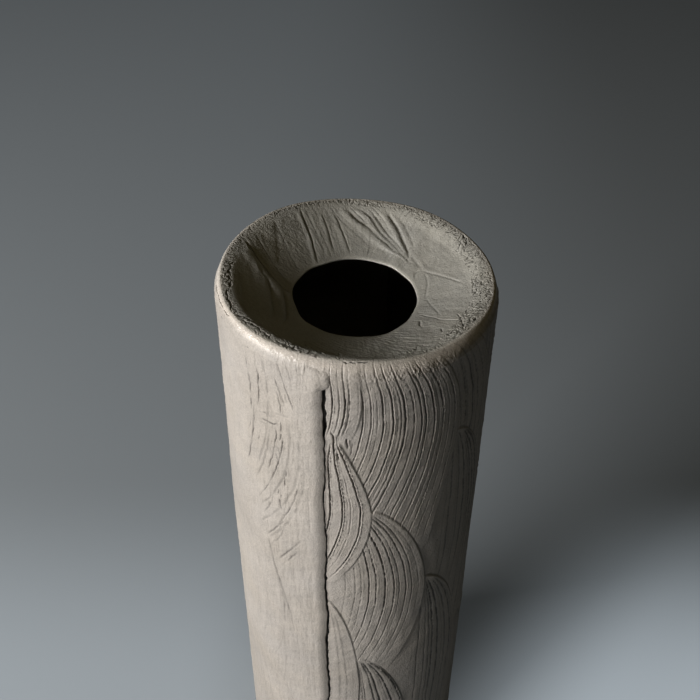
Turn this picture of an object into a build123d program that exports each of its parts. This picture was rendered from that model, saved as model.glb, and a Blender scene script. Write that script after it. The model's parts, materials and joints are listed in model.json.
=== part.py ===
"""Slab-built clay vase in the form of a bamboo section.

A textured slab is rolled into a tube and lapped at the front left. The tube stands on a floor disc
and carries a dished collar with a round mouth. Slip joins the pieces, and soft coils back each joint
on the inside. Millimetres and degrees. The origin is the middle of the foot, +Z is up, the front is
-Y and the right-hand side is +X.
"""

from build123d import *
import os
from math import atan, cos, degrees, radians, sin, tan

# Driving dimensions of the tube
body_diameter = 105.0
vase_height = 300.0
wall_thickness = 6.5
slip_thickness = 0.4

# Driving dimensions of the lapped seam: its bearing is counted from the front, negative to the left
seam_bearing = -12.5
lap_length = 14.0
lap_tip_thickness = 1.0
lap_step = 1.3
lap_ramp_length = 20.0
lap_edge_radius = 0.35

# Driving dimensions of the floor
floor_thickness = 7.0
floor_edge_bevel = 1.5

# Driving dimensions of the collar: its seat leans down to the right by the rim tilt
rim_tilt = 2.0
mouth_diameter = 46.0
collar_edge_height = 6.7
dish_drop = 11.9
rim_radius = 3.5
lip_thickness = 3.0
lip_radius = 1.2

# Driving dimensions of the coils and of the plug on the seam
floor_coil_leg = 7.0
collar_coil_leg = 6.0
coil_edge = 1.0
seam_coil_width = 14.0
seam_coil_thickness = 3.0
plug_radius = 10.0
plug_rise = 0.9
plug_offset = 2.5
plug_depth_below_rim = 6.5

# Radii of the tube and the mouth
body_radius = body_diameter / 2
bore_radius = body_radius - wall_thickness
mouth_radius = mouth_diameter / 2

# Heights of the joints: rounding the rim takes a little off the collar's outer corner
dish_slope = atan(dish_drop / (body_radius - mouth_radius))
crest_loss = rim_radius * (tan(dish_slope) + 1 / cos(dish_slope) - 1)
seat_height = vase_height - collar_edge_height + crest_loss
wall_foot = floor_thickness + slip_thickness
seat_plane = Plane((0, 0, seat_height)).rotated((0, rim_tilt, 0))
wall_top_plane = seat_plane.offset(-slip_thickness)

# The collar and its coil turn about the leaning axis of their seat
seat_axis = Axis(seat_plane.origin, seat_plane.z_dir)
seat_section = Plane(seat_plane.origin, x_dir=seat_plane.x_dir, z_dir=-seat_plane.y_dir)

# Angles of the seam, counterclockwise from +X as seen from above
seam_angle = seam_bearing - 90
lap_angle = degrees(lap_length / body_radius)
ramp_angle = degrees(lap_ramp_length / body_radius)
slip_angle = degrees(slip_thickness / bore_radius)
tip_angle = seam_angle - lap_angle
notch_angle = tip_angle - slip_angle


def on_circle(radius, angle):
    """Point at a radius and an angle in the XY plane."""
    return Vector(radius * cos(radians(angle)), radius * sin(radians(angle)))


# Corners of the inner end, which is bevelled from the outside down to a blunt tip
inner_corner = on_circle(body_radius, seam_angle)
inner_tip = on_circle(bore_radius + lap_tip_thickness, tip_angle)
inner_tip_foot = on_circle(bore_radius, tip_angle)

# Corners of the outer end, which rises over the inner end and keeps a layer of slip from it
outer_ramp = on_circle(body_radius, seam_angle - ramp_angle)
outer_ramp_tangent = on_circle(1, seam_angle - ramp_angle + 90)
outer_edge = on_circle(body_radius + lap_step, seam_angle)
outer_edge_foot = on_circle(body_radius + slip_thickness, seam_angle)
outer_notch = on_circle(bore_radius + lap_tip_thickness + slip_thickness, notch_angle)
outer_notch_foot = on_circle(bore_radius, notch_angle)

# Wall slab: one outline runs round the tube and along both faces of the lap
with BuildPart() as wall_slab:
    with BuildSketch(Plane.XY.offset(wall_foot)) as wall_section:
        with BuildLine():
            CenterArc((0, 0), body_radius, seam_angle, 360 - ramp_angle)
            TangentArc(outer_ramp, outer_edge, tangent=outer_ramp_tangent)
            Line(outer_edge, outer_edge_foot)
            Line(outer_edge_foot, outer_notch)
            Line(outer_notch, outer_notch_foot)
            CenterArc((0, 0), bore_radius, notch_angle, slip_angle - 360)
            Line(inner_tip_foot, inner_tip)
            Line(inner_tip, inner_corner)
        make_face()
        lap_corner = wall_section.vertices().sort_by_distance(outer_edge)[0]
        fillet(lap_corner, radius=min(lap_edge_radius, 0.4 * (lap_step - slip_thickness)))
    extrude(amount=vase_height)
    split(bisect_by=wall_top_plane, keep=Keep.BOTTOM)

# Slip in the lap: it fills the gap that the two ends leave
with BuildPart() as seam_slip:
    with BuildSketch(Plane.XY.offset(wall_foot)):
        with BuildLine():
            Polyline(
                outer_notch_foot, outer_notch, outer_edge_foot, inner_corner, inner_tip, inner_tip_foot
            )
            CenterArc((0, 0), bore_radius, notch_angle, slip_angle)
        make_face()
    extrude(amount=vase_height)
    split(bisect_by=wall_top_plane, keep=Keep.BOTTOM)

# Floor disc: its lower edge is bevelled so that it doesn't chip
with BuildPart() as floor_disc:
    with BuildSketch():
        Circle(body_radius)
    extrude(amount=floor_thickness)
    chamfer(floor_disc.faces().sort_by(Axis.Z)[0].edges(), length=floor_edge_bevel)

# Slip between the floor and the tube
with BuildPart() as floor_slip:
    with BuildSketch(Plane.XY.offset(floor_thickness)):
        Circle(body_radius)
        Circle(bore_radius, mode=Mode.SUBTRACT)
    extrude(amount=slip_thickness)

# Slip between the tube and the collar, cut by the two leaning planes of the joint
with BuildPart() as collar_slip:
    with BuildSketch(Plane.XY.offset(wall_foot)):
        Circle(body_radius)
        Circle(bore_radius, mode=Mode.SUBTRACT)
    extrude(amount=vase_height)
    split(bisect_by=seat_plane, keep=Keep.BOTTOM)
    split(bisect_by=wall_top_plane, keep=Keep.TOP)

# Mouth collar: a dished ring that rests on the tube's upper edge, with a rolled rim and a thin lip
lip_top = collar_edge_height - dish_drop
lip_foot = lip_top - lip_thickness
with BuildPart() as mouth_collar:
    with BuildSketch(seat_section) as collar_profile:
        with BuildLine():
            Polyline(
                (bore_radius, 0),
                (body_radius, 0),
                (body_radius, collar_edge_height),
                (mouth_radius, lip_top),
                (mouth_radius, lip_foot),
                close=True,
            )
        make_face()
        fillet(collar_profile.vertices().sort_by(Axis.Y)[-1], radius=rim_radius)
        lip_corners = collar_profile.vertices().group_by(Axis.X)[0]
        fillet(lip_corners, radius=min(lip_radius, 0.4 * lip_thickness))
    revolve(axis=seat_axis)

# Floor coil: pressed into the corner of floor and wall and smoothed to a hollow curve
with BuildPart() as floor_coil:
    with BuildSketch(Plane.XZ):
        with BuildLine():
            Polyline(
                (bore_radius - coil_edge, floor_thickness + floor_coil_leg),
                (bore_radius, floor_thickness + floor_coil_leg),
                (bore_radius, floor_thickness),
                (bore_radius - floor_coil_leg, floor_thickness),
                (bore_radius - floor_coil_leg, floor_thickness + coil_edge),
            )
            RadiusArc(
                (bore_radius - floor_coil_leg, floor_thickness + coil_edge),
                (bore_radius - coil_edge, floor_thickness + floor_coil_leg),
                -2 * floor_coil_leg,
            )
        make_face()
    revolve(axis=Axis.Z)

# Collar coil: pressed into the corner under the collar and cut to the bore of the tube
underside_slope = -lip_foot / (bore_radius - mouth_radius)
coil_top = -collar_coil_leg * underside_slope
with BuildPart() as collar_coil:
    with BuildSketch(seat_section):
        with BuildLine():
            Polyline(
                (bore_radius - collar_coil_leg, coil_top - coil_edge),
                (bore_radius - collar_coil_leg, coil_top),
                (body_radius, wall_thickness * underside_slope),
                (body_radius, coil_top - collar_coil_leg),
                (bore_radius - coil_edge, coil_top - collar_coil_leg),
            )
            RadiusArc(
                (bore_radius - collar_coil_leg, coil_top - coil_edge),
                (bore_radius - coil_edge, coil_top - collar_coil_leg),
                2 * collar_coil_leg,
            )
        make_face()
    revolve(axis=seat_axis)
    with BuildSketch():
        Circle(bore_radius)
    extrude(amount=2 * vase_height, mode=Mode.INTERSECT)

# Seam coil: runs up the inside of the lap from the floor coil to the collar coil
seam_coil_half_angle = degrees(seam_coil_width / 2 / bore_radius)
seam_coil_ends = [on_circle(bore_radius, tip_angle + side * seam_coil_half_angle) for side in (-1, 1)]
with BuildPart() as seam_coil:
    with BuildSketch(Plane.XY.offset(floor_thickness + floor_coil_leg)):
        with BuildLine():
            CenterArc((0, 0), bore_radius, tip_angle - seam_coil_half_angle, 2 * seam_coil_half_angle)
            ThreePointArc(
                seam_coil_ends[0],
                on_circle(bore_radius - seam_coil_thickness, tip_angle),
                seam_coil_ends[1],
            )
        make_face()
    extrude(amount=vase_height)
    split(bisect_by=seat_plane.offset(coil_top - collar_coil_leg), keep=Keep.BOTTOM)

# Seam plug: a round wad, smeared on the outside over the seam's upper end and the collar's joint
plug_angle = seam_angle - degrees(plug_offset / body_radius)
plug_centre = on_circle(body_radius + lap_step + plug_rise - plug_radius, plug_angle)
with BuildPart() as seam_plug:
    with Locations((plug_centre.X, plug_centre.Y, vase_height - plug_depth_below_rim)):
        Sphere(plug_radius)
    with BuildSketch():
        Circle(body_radius)
    extrude(amount=2 * vase_height, mode=Mode.SUBTRACT)
    for neighbour in (wall_slab, seam_slip, mouth_collar):
        add(neighbour.part, mode=Mode.SUBTRACT)

# Write one file for each piece
pieces = {
    "wall_slab": wall_slab,
    "seam_slip": seam_slip,
    "floor_disc": floor_disc,
    "floor_slip": floor_slip,
    "collar_slip": collar_slip,
    "mouth_collar": mouth_collar,
    "floor_coil": floor_coil,
    "collar_coil": collar_coil,
    "seam_coil": seam_coil,
    "seam_plug": seam_plug,
}
os.makedirs("parts", exist_ok=True)
for name, piece in pieces.items():
    piece.part.label = name
    export_step(piece.part, f"parts/{name}.step")
    print(f"{name}: {piece.part.volume / 1000:.1f} cm3")
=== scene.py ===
# %% [markdown]
# # A slab-built clay vase in the form of a length of bamboo
# The real vase began as a flat slab of clay. A toothed tool was drawn over the slab in bowed strokes,
# and the slab was rolled into a tube with its two ends lapped. The tube stands on a floor disc and
# carries a dished collar with a round mouth. The pot was fired bare, with no glaze, so everything that
# the eye enjoys is shape: furrows, torn edges, folds and cracks.
#
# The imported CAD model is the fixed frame. It gives the true size and place of each piece, and this
# script makes the clay that is seen.

# %% Load the frame
import json
from collections import namedtuple
import bpy
import numpy as np
from mathutils import Matrix


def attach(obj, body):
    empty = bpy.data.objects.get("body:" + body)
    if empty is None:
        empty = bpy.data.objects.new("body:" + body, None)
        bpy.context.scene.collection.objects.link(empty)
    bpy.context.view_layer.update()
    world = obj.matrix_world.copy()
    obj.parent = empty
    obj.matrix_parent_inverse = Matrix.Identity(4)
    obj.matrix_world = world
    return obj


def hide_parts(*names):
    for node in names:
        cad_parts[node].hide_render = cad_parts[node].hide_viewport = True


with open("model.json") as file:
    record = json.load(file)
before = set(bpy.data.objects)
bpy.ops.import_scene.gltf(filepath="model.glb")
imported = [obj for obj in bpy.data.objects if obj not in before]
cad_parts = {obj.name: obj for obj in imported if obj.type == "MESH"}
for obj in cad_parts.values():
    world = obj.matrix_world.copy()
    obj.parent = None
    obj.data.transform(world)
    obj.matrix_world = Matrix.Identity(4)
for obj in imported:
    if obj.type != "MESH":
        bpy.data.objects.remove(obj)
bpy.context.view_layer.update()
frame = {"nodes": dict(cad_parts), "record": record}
print("CAD pieces:", ", ".join(sorted(frame["nodes"])))

# %% [markdown]
# ## Measuring the pieces
# A potter thinks in millimetres and Blender in metres. Shapes are worked out in millimetres here, and
# the one function that writes a mesh turns them into metres. The main sizes are read from the CAD pieces
# rather than typed again, so a clay piece lands where the frame says. Places on the pot are named by
# their bearing, an angle that is 0 at the front and grows to the right.

# %% Measure the frame
MM = 0.001


def corners(node):
    """Corner points of a CAD piece as rows of x, y and z, in millimetres."""
    mesh = frame["nodes"][node].data
    points = np.empty(3 * len(mesh.vertices), np.float32)
    mesh.vertices.foreach_get("co", points)
    return points.reshape(-1, 3).astype(float) / MM


def reach(points):
    """Distance of points from the upright axis: the root of x squared plus y squared."""
    return np.hypot(points[:, 0], points[:, 1])


body_radius = reach(corners("floor_disc")).max()
bore_radius = reach(corners("floor_coil")).max()
floor_top = corners("floor_disc")[:, 2].max()
wall_foot = corners("floor_slip")[:, 2].max()
slip_layer = wall_foot - floor_top

joint_heights = corners("collar_slip")[:, 2]
rim_lean = (np.ptp(joint_heights) - slip_layer) / (2 * body_radius)
seat_height = (joint_heights.max() + joint_heights.min() + slip_layer) / 2

lap_points = corners("seam_slip")
seam_point = lap_points[np.argmax(reach(lap_points))]
seam_bearing = np.arctan2(seam_point[0], -seam_point[1])
collar_points = corners("mouth_collar")
above_seat = collar_points[:, 2] - seat_height + rim_lean * collar_points[:, 0]
mouth_radius = np.hypot(collar_points[:, 0] - rim_lean * above_seat, collar_points[:, 1]).min()
around = 2 * np.pi * body_radius
seam_place = body_radius * seam_bearing
print(f"radius {body_radius:.1f}, bore {bore_radius:.1f}, mouth {mouth_radius:.1f}, seat {seat_height:.1f}")
print(f"seam {np.degrees(seam_bearing):.1f} degrees from the front, rim leans 1 in {1 / rim_lean:.0f}")

# %% [markdown]
# ## Two tools for hand-made shapes
# Hand work has no hard switches and no perfect evenness. A soft step fades one shape into the next. A
# sum of sine waves in random directions gives a smooth swell that never repeats by eye. Its random
# numbers come from a seed, so that the pot is the same each time the script runs.

# %% Soft steps and swells
def smooth_step(x):
    """Rises from 0 to 1 while x does, level at both ends: 3 x squared minus 2 x cubed."""
    x = np.clip(x, 0, 1)
    return x * x * (3 - 2 * x)


def swell(places, length, seed, count=7):
    """Sum of sine waves in random directions, each about one length long, usually within -2 and 2."""
    rng = np.random.default_rng(seed)
    total = 0
    for _ in range(count):
        way = rng.normal(size=len(places))
        way = way / np.linalg.norm(way) / (length * rng.uniform(0.6, 1.6))
        total = total + np.sin(2 * np.pi * (sum(w * p for w, p in zip(way, places)) + rng.uniform()))
    return total * np.sqrt(2 / count)


def ridge(x, width):
    """Bell curve: 1 where x is 0, falling away over about one width to each side."""
    return np.exp(-((x / width) ** 2))


def span(values):
    """Least and greatest of some lengths, written out in millimetres."""
    return f"{values.min():.2f} to {values.max():.2f} mm"


print(f"swell at three places: {swell((np.array([0.0, 5.0, 10.0]),), 20, 1).round(2)}")

# %% [markdown]
# ## The clay's finish
# Bare fired clay is matt and a little sandy. Its colour drifts over a few fingers' width and it has a fine
# grain. Its furrows, cracks and hollows are darkened, partly as dust and partly as painted shade, and its
# rubbed crest and a few edges that face the lamp are lightened as a painted highlight. All the pieces share
# these effects, so they are one node group, and each material gives it its own clay colour. Where the dust,
# the painted shade and the painted highlight lie is known only to the shape code, which stores it on the
# mesh as an attribute. The group takes that in as a mask.

# %% Group with its sockets
def add_node(tree, kind, inputs=None, **settings):
    """Puts a node into a tree, with its settings and the values of its inputs."""
    made = tree.nodes.new(kind)
    for name, value in settings.items():
        setattr(made, name, value)
    for name, value in (inputs or {}).items():
        made.inputs[name].default_value = value
    return made


clay_group = bpy.data.node_groups.new("bare_clay", "ShaderNodeTree")
for name, kind, way in (
    ("Clay", "NodeSocketColor", "INPUT"),
    ("Outer Clay", "NodeSocketColor", "INPUT"),
    ("Outside", "NodeSocketFloat", "INPUT"),
    ("Dust And Painted Light", "NodeSocketFloat", "INPUT"),
    ("Colour", "NodeSocketColor", "OUTPUT"),
    ("Roughness", "NodeSocketFloat", "OUTPUT"),
    ("Height", "NodeSocketFloat", "OUTPUT"),
):
    clay_group.interface.new_socket(name=name, in_out=way, socket_type=kind)
print("sockets of the clay group:", ", ".join(s.name for s in clay_group.interface.items_tree))

# %% [markdown]
# Inside the group, three noises make the clay lighter and darker: one over a few fingers' width, one over
# a fingertip and one as fine as sand. A fourth makes some places a little warmer. The mask darkens the clay
# as dust and painted shade, and a mask below zero lightens it as a painted highlight, on clay that was also
# rubbed and is a little smoother. The noises read Object coordinates, which are in metres, so a noise scale
# of 1000 means details of about a millimetre.

# %% Inside the clay group
PAINTED_LIGHT_SCALE, RUBBED_SHINE = 0.72, 0.45
WARM_TINT = (1.0, 0.98, 0.94, 1)


def noise_level(tree, place, scale, detail, low, high):
    """Noise of one scale, stretched from its usual range of 0.3 to 0.7 to the given one."""
    noise = add_node(tree, "ShaderNodeTexNoise", {"Scale": scale, "Detail": detail, "Roughness": 0.6})
    level = add_node(tree, "ShaderNodeMapRange", {1: 0.3, 2: 0.7, 3: low, 4: high})
    tree.links.new(place, noise.inputs["Vector"])
    tree.links.new(noise.outputs["Fac"], level.inputs["Value"])
    return level.outputs["Result"]


def maths(tree, operation, first, second):
    """A Math node between two sockets, or a socket and a number."""
    made = add_node(tree, "ShaderNodeMath", operation=operation)
    tree.links.new(first, made.inputs[0])
    if isinstance(second, (int, float)):
        made.inputs[1].default_value = second
    else:
        tree.links.new(second, made.inputs[1])
    return made.outputs[0]


def fill_clay_group(tree):
    """Colour, roughness and fine height of bare clay, from its plain colour and the mask of dust and painted
    light.
    """
    given = tree.nodes.new("NodeGroupInput")
    result = tree.nodes.new("NodeGroupOutput")
    place = tree.nodes.new("ShaderNodeTexCoord").outputs["Object"]

    drift = noise_level(tree, place, 24, 3, 0.9, 1.07)
    cloud = noise_level(tree, place, 150, 4, 0.94, 1.05)
    grain = noise_level(tree, place, 1500, 3, 0.85, 1.13)
    tone = maths(tree, "MULTIPLY", maths(tree, "MULTIPLY", drift, cloud), grain)
    # Painted shade and painted highlight: the mask scales the colour down, and up where it is below zero.
    shade = maths(tree, "MULTIPLY_ADD", given.outputs["Dust And Painted Light"], -PAINTED_LIGHT_SCALE)
    shade.node.inputs[2].default_value = 1
    tone = maths(tree, "MULTIPLY", tone, shade)

    warm = add_node(tree, "ShaderNodeMix", data_type="RGBA", blend_type="MULTIPLY")
    warm.inputs["B"].default_value = WARM_TINT
    tree.links.new(noise_level(tree, place, 38, 2, 0.0, 1.0), warm.inputs["Factor"])
    wiped = add_node(tree, "ShaderNodeMix", data_type="RGBA")
    tree.links.new(given.outputs["Outside"], wiped.inputs["Factor"])
    tree.links.new(given.outputs["Clay"], wiped.inputs["A"])
    tree.links.new(given.outputs["Outer Clay"], wiped.inputs["B"])
    tree.links.new(wiped.outputs["Result"], warm.inputs["A"])
    toned = add_node(tree, "ShaderNodeVectorMath", operation="SCALE")
    tree.links.new(warm.outputs["Result"], toned.inputs[0])
    tree.links.new(tone, toned.inputs["Scale"])
    tree.links.new(toned.outputs[0], result.inputs["Colour"])

    rubbed = maths(tree, "MULTIPLY", given.outputs["Dust And Painted Light"], RUBBED_SHINE)
    rubbed = maths(tree, "MINIMUM", rubbed, 0.0)
    rough = maths(tree, "ADD", noise_level(tree, place, 300, 2, 0.5, 0.6), rubbed)
    tree.links.new(rough, result.inputs["Roughness"])
    sand = noise_level(tree, place, 1100, 2, 0.0, 0.6)
    height = maths(tree, "ADD", sand, noise_level(tree, place, 2300, 2, 0.0, 0.4))
    tree.links.new(height, result.inputs["Height"])


fill_clay_group(clay_group)
print("clay group has", len(clay_group.nodes), "nodes")

# %% [markdown]
# Each piece of clay gets its own material around that group: the slab, the collar, the floor, the soft
# coils and the slip differ a little in colour. The shader itself stays in the material. The colours are
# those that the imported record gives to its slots, so the record and the render agree. On the collar a
# second attribute, wiped, says where the wall's clay was smeared over the collar's own.

# %% Clay materials
SAND_HEIGHT, SHINE = 0.4 * MM, 0.6


def slot_colour(slot):
    """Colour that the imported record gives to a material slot, as red, green, blue and alpha."""
    colour = next(m["base_color"] for m in frame["record"]["materials"] if m["slot"] == slot)
    return (*colour[:3], 1)


def make_clay(slot, bump):
    """A Principled shader fed by the clay group: the slot's own clay and the wall's clay over it."""
    material = bpy.data.materials.new(slot)
    material.use_nodes = True
    tree = material.node_tree
    shader = tree.nodes["Principled BSDF"]
    shader.inputs["Specular IOR Level"].default_value = SHINE
    clay = add_node(tree, "ShaderNodeGroup", node_tree=clay_group)
    clay.inputs["Clay"].default_value = slot_colour(slot)
    clay.inputs["Outer Clay"].default_value = slot_colour("wall_clay")
    # Mask of dust, painted shade and painted highlight.
    dust_and_painted_light = add_node(tree, "ShaderNodeAttribute", attribute_name="dust_and_painted_light")
    wiped = add_node(tree, "ShaderNodeAttribute", attribute_name="wiped")
    tree.links.new(wiped.outputs["Fac"], clay.inputs["Outside"])
    relief = add_node(tree, "ShaderNodeBump", {"Strength": bump, "Distance": SAND_HEIGHT})
    tree.links.new(dust_and_painted_light.outputs["Fac"], clay.inputs["Dust And Painted Light"])
    tree.links.new(clay.outputs["Colour"], shader.inputs["Base Color"])
    tree.links.new(clay.outputs["Roughness"], shader.inputs["Roughness"])
    tree.links.new(clay.outputs["Height"], relief.inputs["Height"])
    tree.links.new(relief.outputs["Normal"], shader.inputs["Normal"])
    return material


clays = {
    slot: make_clay(slot, bump)
    for slot, bump in (
        ("wall_clay", 0.45),
        ("collar_clay", 0.35),
        ("floor_clay", 0.5),
        ("coil_clay", 0.4),
        ("slip", 0.3),
    )
}
print("clays:", ", ".join(clays))

# %% [markdown]
# ## From a grid of points to a clay piece
# Every piece here is a closed skin. Its points come as a grid: each row is a ring of points, and the
# rows follow one another along the piece. Neighbouring rows are joined by four-sided faces. A piece such
# as the wall ends in two flat caps, and a ring such as the collar joins its last row to its first.
# Working with whole arrays lets numpy number all the faces at once. A flat map unrolls the grid, so that
# the finish can later be baked without overlaps. Its lower strip is kept for the two caps.

# %% Faces and flat map of a grid
CAP_STRIP, CAP_WIDTH, CAP_GAP = 0.08, 0.47, 0.01


def ring_faces(rows, ring, closed):
    """Point numbers of the four-sided faces, and the same faces on the unrolled map."""
    row = np.arange(rows if closed else rows - 1)[:, None]
    step = np.arange(ring)[None, :]
    steps = np.stack([step + 0 * row, step + 1 + 0 * row, step + 1 + 0 * row, step + 0 * row], -1)
    levels = np.stack([row + 0 * step, row + 0 * step, row + 1 + 0 * step, row + 1 + 0 * step], -1)
    numbers = (levels % rows) * ring + steps % ring
    base = 0 if closed else CAP_STRIP
    tall = base + (1 - base) * levels / (rows if closed else rows - 1)
    return numbers.reshape(-1, 4), np.stack([steps / ring, tall], -1).reshape(-1, 2)


def cap_map(points, left):
    """Map of a flat cap: its two widest directions, shrunk into one half of the lower strip."""
    flat = points[:, np.sort(np.argsort(np.ptp(points, axis=0))[1:])]
    flat = flat - flat.min(0)
    flat = flat * min(CAP_WIDTH / flat[:, 0].max(), (CAP_STRIP - 2 * CAP_GAP) / flat[:, 1].max())
    return flat + (left, CAP_GAP)


print("faces between 5 rows of 8 points:", len(ring_faces(5, 8, False)[0]))

# %% [markdown]
# A face has a front and a back, and light treats them differently in some renderers, so every skin must
# face outwards. Blender can turn faces by itself, but a sum is quicker: the pyramids from the middle of the
# piece to each triangle add up to its volume, and a volume below zero means that the skin is inside out.

# %% Volume inside a skin
def fans(loops, starts):
    """Triangles that fill faces: each face's first corner with each of its later pairs of neighbours."""
    sizes = np.diff(np.append(starts, len(loops)))
    first = np.repeat(starts, sizes)
    place = np.arange(len(loops)) - first
    middle = np.flatnonzero((place > 0) & (place < np.repeat(sizes, sizes) - 1))
    return np.stack([loops[first[middle]], loops[middle], loops[middle + 1]], -1)


def space_inside(points, triangles):
    """Volume inside a closed skin: the sum of the signed pyramids from its middle to each triangle."""
    a, b, c = (points[triangles[:, k]] - points.mean(0) for k in range(3))
    return (np.cross(a, b) * c).sum() / 6


trial_points = np.array([(0, 0, 0), (1, 0, 0), (0, 1, 0), (0, 0, 1)], float)
trial_faces = np.array([(0, 2, 1), (0, 1, 3), (0, 3, 2), (1, 2, 3)])
print(f"volume of a corner of a cube: {space_inside(trial_points, trial_faces):.3f}")

# %% [markdown]
# Every piece is written by one function. It makes the mesh with foreach_set, which copies whole arrays and
# is far quicker than a loop over points, and stores the flat map under the name OFBake. Then it says which
# CAD piece the clay stands for, which body it rides on, and which clay it is made of.

# %% Piece maker
SHARP_ANGLE = 50


def write_mesh(name, points, loops, starts):
    """A smooth mesh in metres: points in millimetres, corner numbers of the faces and where each starts."""
    mesh = bpy.data.meshes.new(name)
    mesh.vertices.add(len(points))
    mesh.vertices.foreach_set("co", (points * MM).astype(np.float32).ravel())
    mesh.loops.add(len(loops))
    mesh.loops.foreach_set("vertex_index", loops.astype(np.int32))
    mesh.polygons.add(len(starts))
    mesh.polygons.foreach_set("loop_start", starts.astype(np.int32))
    mesh.update(calc_edges=True)
    mesh.validate()
    mesh.shade_smooth()
    return mesh


def make_piece(name, grid, node, slot, dust_and_painted_light=0.0, closed=False, normals=None, wiped=0.0):
    """Writes a grid of points in millimetres as a closed mesh in metres that stands for a CAD piece."""
    rows, ring = grid.shape[:2]
    points = grid.reshape(-1, 3)
    faces, flat_map = ring_faces(rows, ring, closed)
    loops, starts = faces.ravel(), 4 * np.arange(len(faces))
    if not closed:
        first, last = np.arange(ring), (rows - 1) * ring + np.arange(ring)
        loops = np.concatenate([loops, first[::-1], last])
        starts = np.append(starts, [4 * len(faces), 4 * len(faces) + ring])
        caps = cap_map(points[first[::-1]], CAP_GAP), cap_map(points[last], 0.5 + CAP_GAP)
        flat_map = np.concatenate([flat_map, *caps])
    triangles = fans(loops, starts)
    volume = space_inside(points, triangles)
    if volume < 0:
        ends = np.append(starts[1:], len(loops))
        turned = np.repeat(starts + ends - 1, ends - starts) - np.arange(len(loops))
        loops, flat_map = loops[turned], flat_map[turned]

    mesh = write_mesh(name, points, loops, starts)
    mesh.uv_layers.new(name="OFBake").data.foreach_set("uv", flat_map.astype(np.float32).ravel())
    # Stores the mask of dust, painted shade and painted highlight, and the wiped share.
    for mark, values in (("dust_and_painted_light", dust_and_painted_light), ("wiped", wiped)):
        values = np.broadcast_to(values, grid.shape[:2]).astype(np.float32).ravel()
        mesh.attributes.new(mark, "FLOAT", "POINT").data.foreach_set("value", values)
    mesh.materials.append(clays[slot])
    if normals is None:
        mesh.set_sharp_from_angle(angle=np.radians(SHARP_ANGLE))
    else:
        mesh.normals_split_custom_set_from_vertices(normals.reshape(-1, 3).tolist())

    piece = bpy.data.objects.new(name, mesh)
    bpy.context.scene.collection.objects.link(piece)
    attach(piece, "root")
    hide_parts(node)
    print(f"{name}: {abs(volume) / 1000:.2f} cm3, {len(triangles)} triangles, stands for {node}")


# %% [markdown]
# ## How a stroke of the toothed tool looks
# The tool was drawn over the soft slab in one bowed sweep after another, each like a long leaf: its outer
# edge bulges to the right, and its teeth leave furrows between that edge and its root. Each stroke pushes
# clay up along its outer edge, so it lies over the last one like a shingle. A photograph or a sculpted
# brush could give such a surface, but a formula gives clean furrows at any size. Places on the slab are
# u, the way round from the front, and v, the height.

# %% One side of a stroke
def bow(v, top, belly, foot, roundness=1.65):
    """Place u of a bowed edge at height v: a rounded arch from belly to top, a parabola down to foot."""
    up = np.clip((v - belly[1]) / (top[1] - belly[1]), 0, 1)
    down = np.maximum((belly[1] - v) / (belly[1] - foot[1]), 0)
    arch = 1 - (1 - up**roundness) ** (1 / roundness)
    return belly[0] - (belly[0] - top[0]) * arch - (belly[0] - foot[0]) * down**2


def through(v, *points):
    """Smooth curve through (u, v) points: the sum of each u times a product that is 1 only at its own v."""
    total = 0
    for u0, v0 in points:
        product = u0
        for _, v1 in points:
            if v1 != v0:
                product = product * (v - v1) / (v0 - v1)
        total = total + product
    return total


def side_line(v, points):
    """Place u of one side of a stroke: a bow for three points, and else the curve through all of them."""
    return bow(v, *points) if len(points) == 3 else through(v, *points)


trial_side = [(0, 100), (10, 50), (0, 0)]
print("an edge from 0 to 10 and back:", side_line(np.array([100.0, 50.0, 0.0]), trial_side))

# %% [markdown]
# The teeth come next. The way across a stroke runs from 0 at its root to 1 at its edge, and each tooth has
# its place there and its own bite. The distance to the nearest tooth gives a thin sharp cut with a burr of
# pushed clay, mostly on its right, where it catches the light. A worn or tilted tool leaves broad soft
# furrows instead, so a stroke says how soft it is. Hair-fine scratches of sand grains run between the
# teeth, and every cut wavers a little and skips here and there.

# %% The teeth
CUT_WIDTHS, BURR_PLACE, BURR_WIDTH = (0.2, 0.3), 0.5, 0.22
SOFT_WIDTH, SOFT_BURR_PLACE = 0.7, 1.1
SCRATCHES_PER_TOOTH, SCRATCH_DEPTH, SCRATCH_WIDTH = 4, 0.15, 0.15


def uneven_teeth(count, seed):
    """Place across the stroke and bite of each tooth: even steps, each pushed by up to a third of a step."""
    rng = np.random.default_rng(seed)
    at = (np.arange(count) + 0.5 + rng.uniform(-0.33, 0.33, count)) / count
    return list(zip(at, rng.uniform(0.15, 1.1, count)))


def nearest_line(share, at):
    """Number of the nearest line, for lines that lie at rising shares of the way across."""
    return np.searchsorted((at[1:] + at[:-1]) / 2, share)


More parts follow.
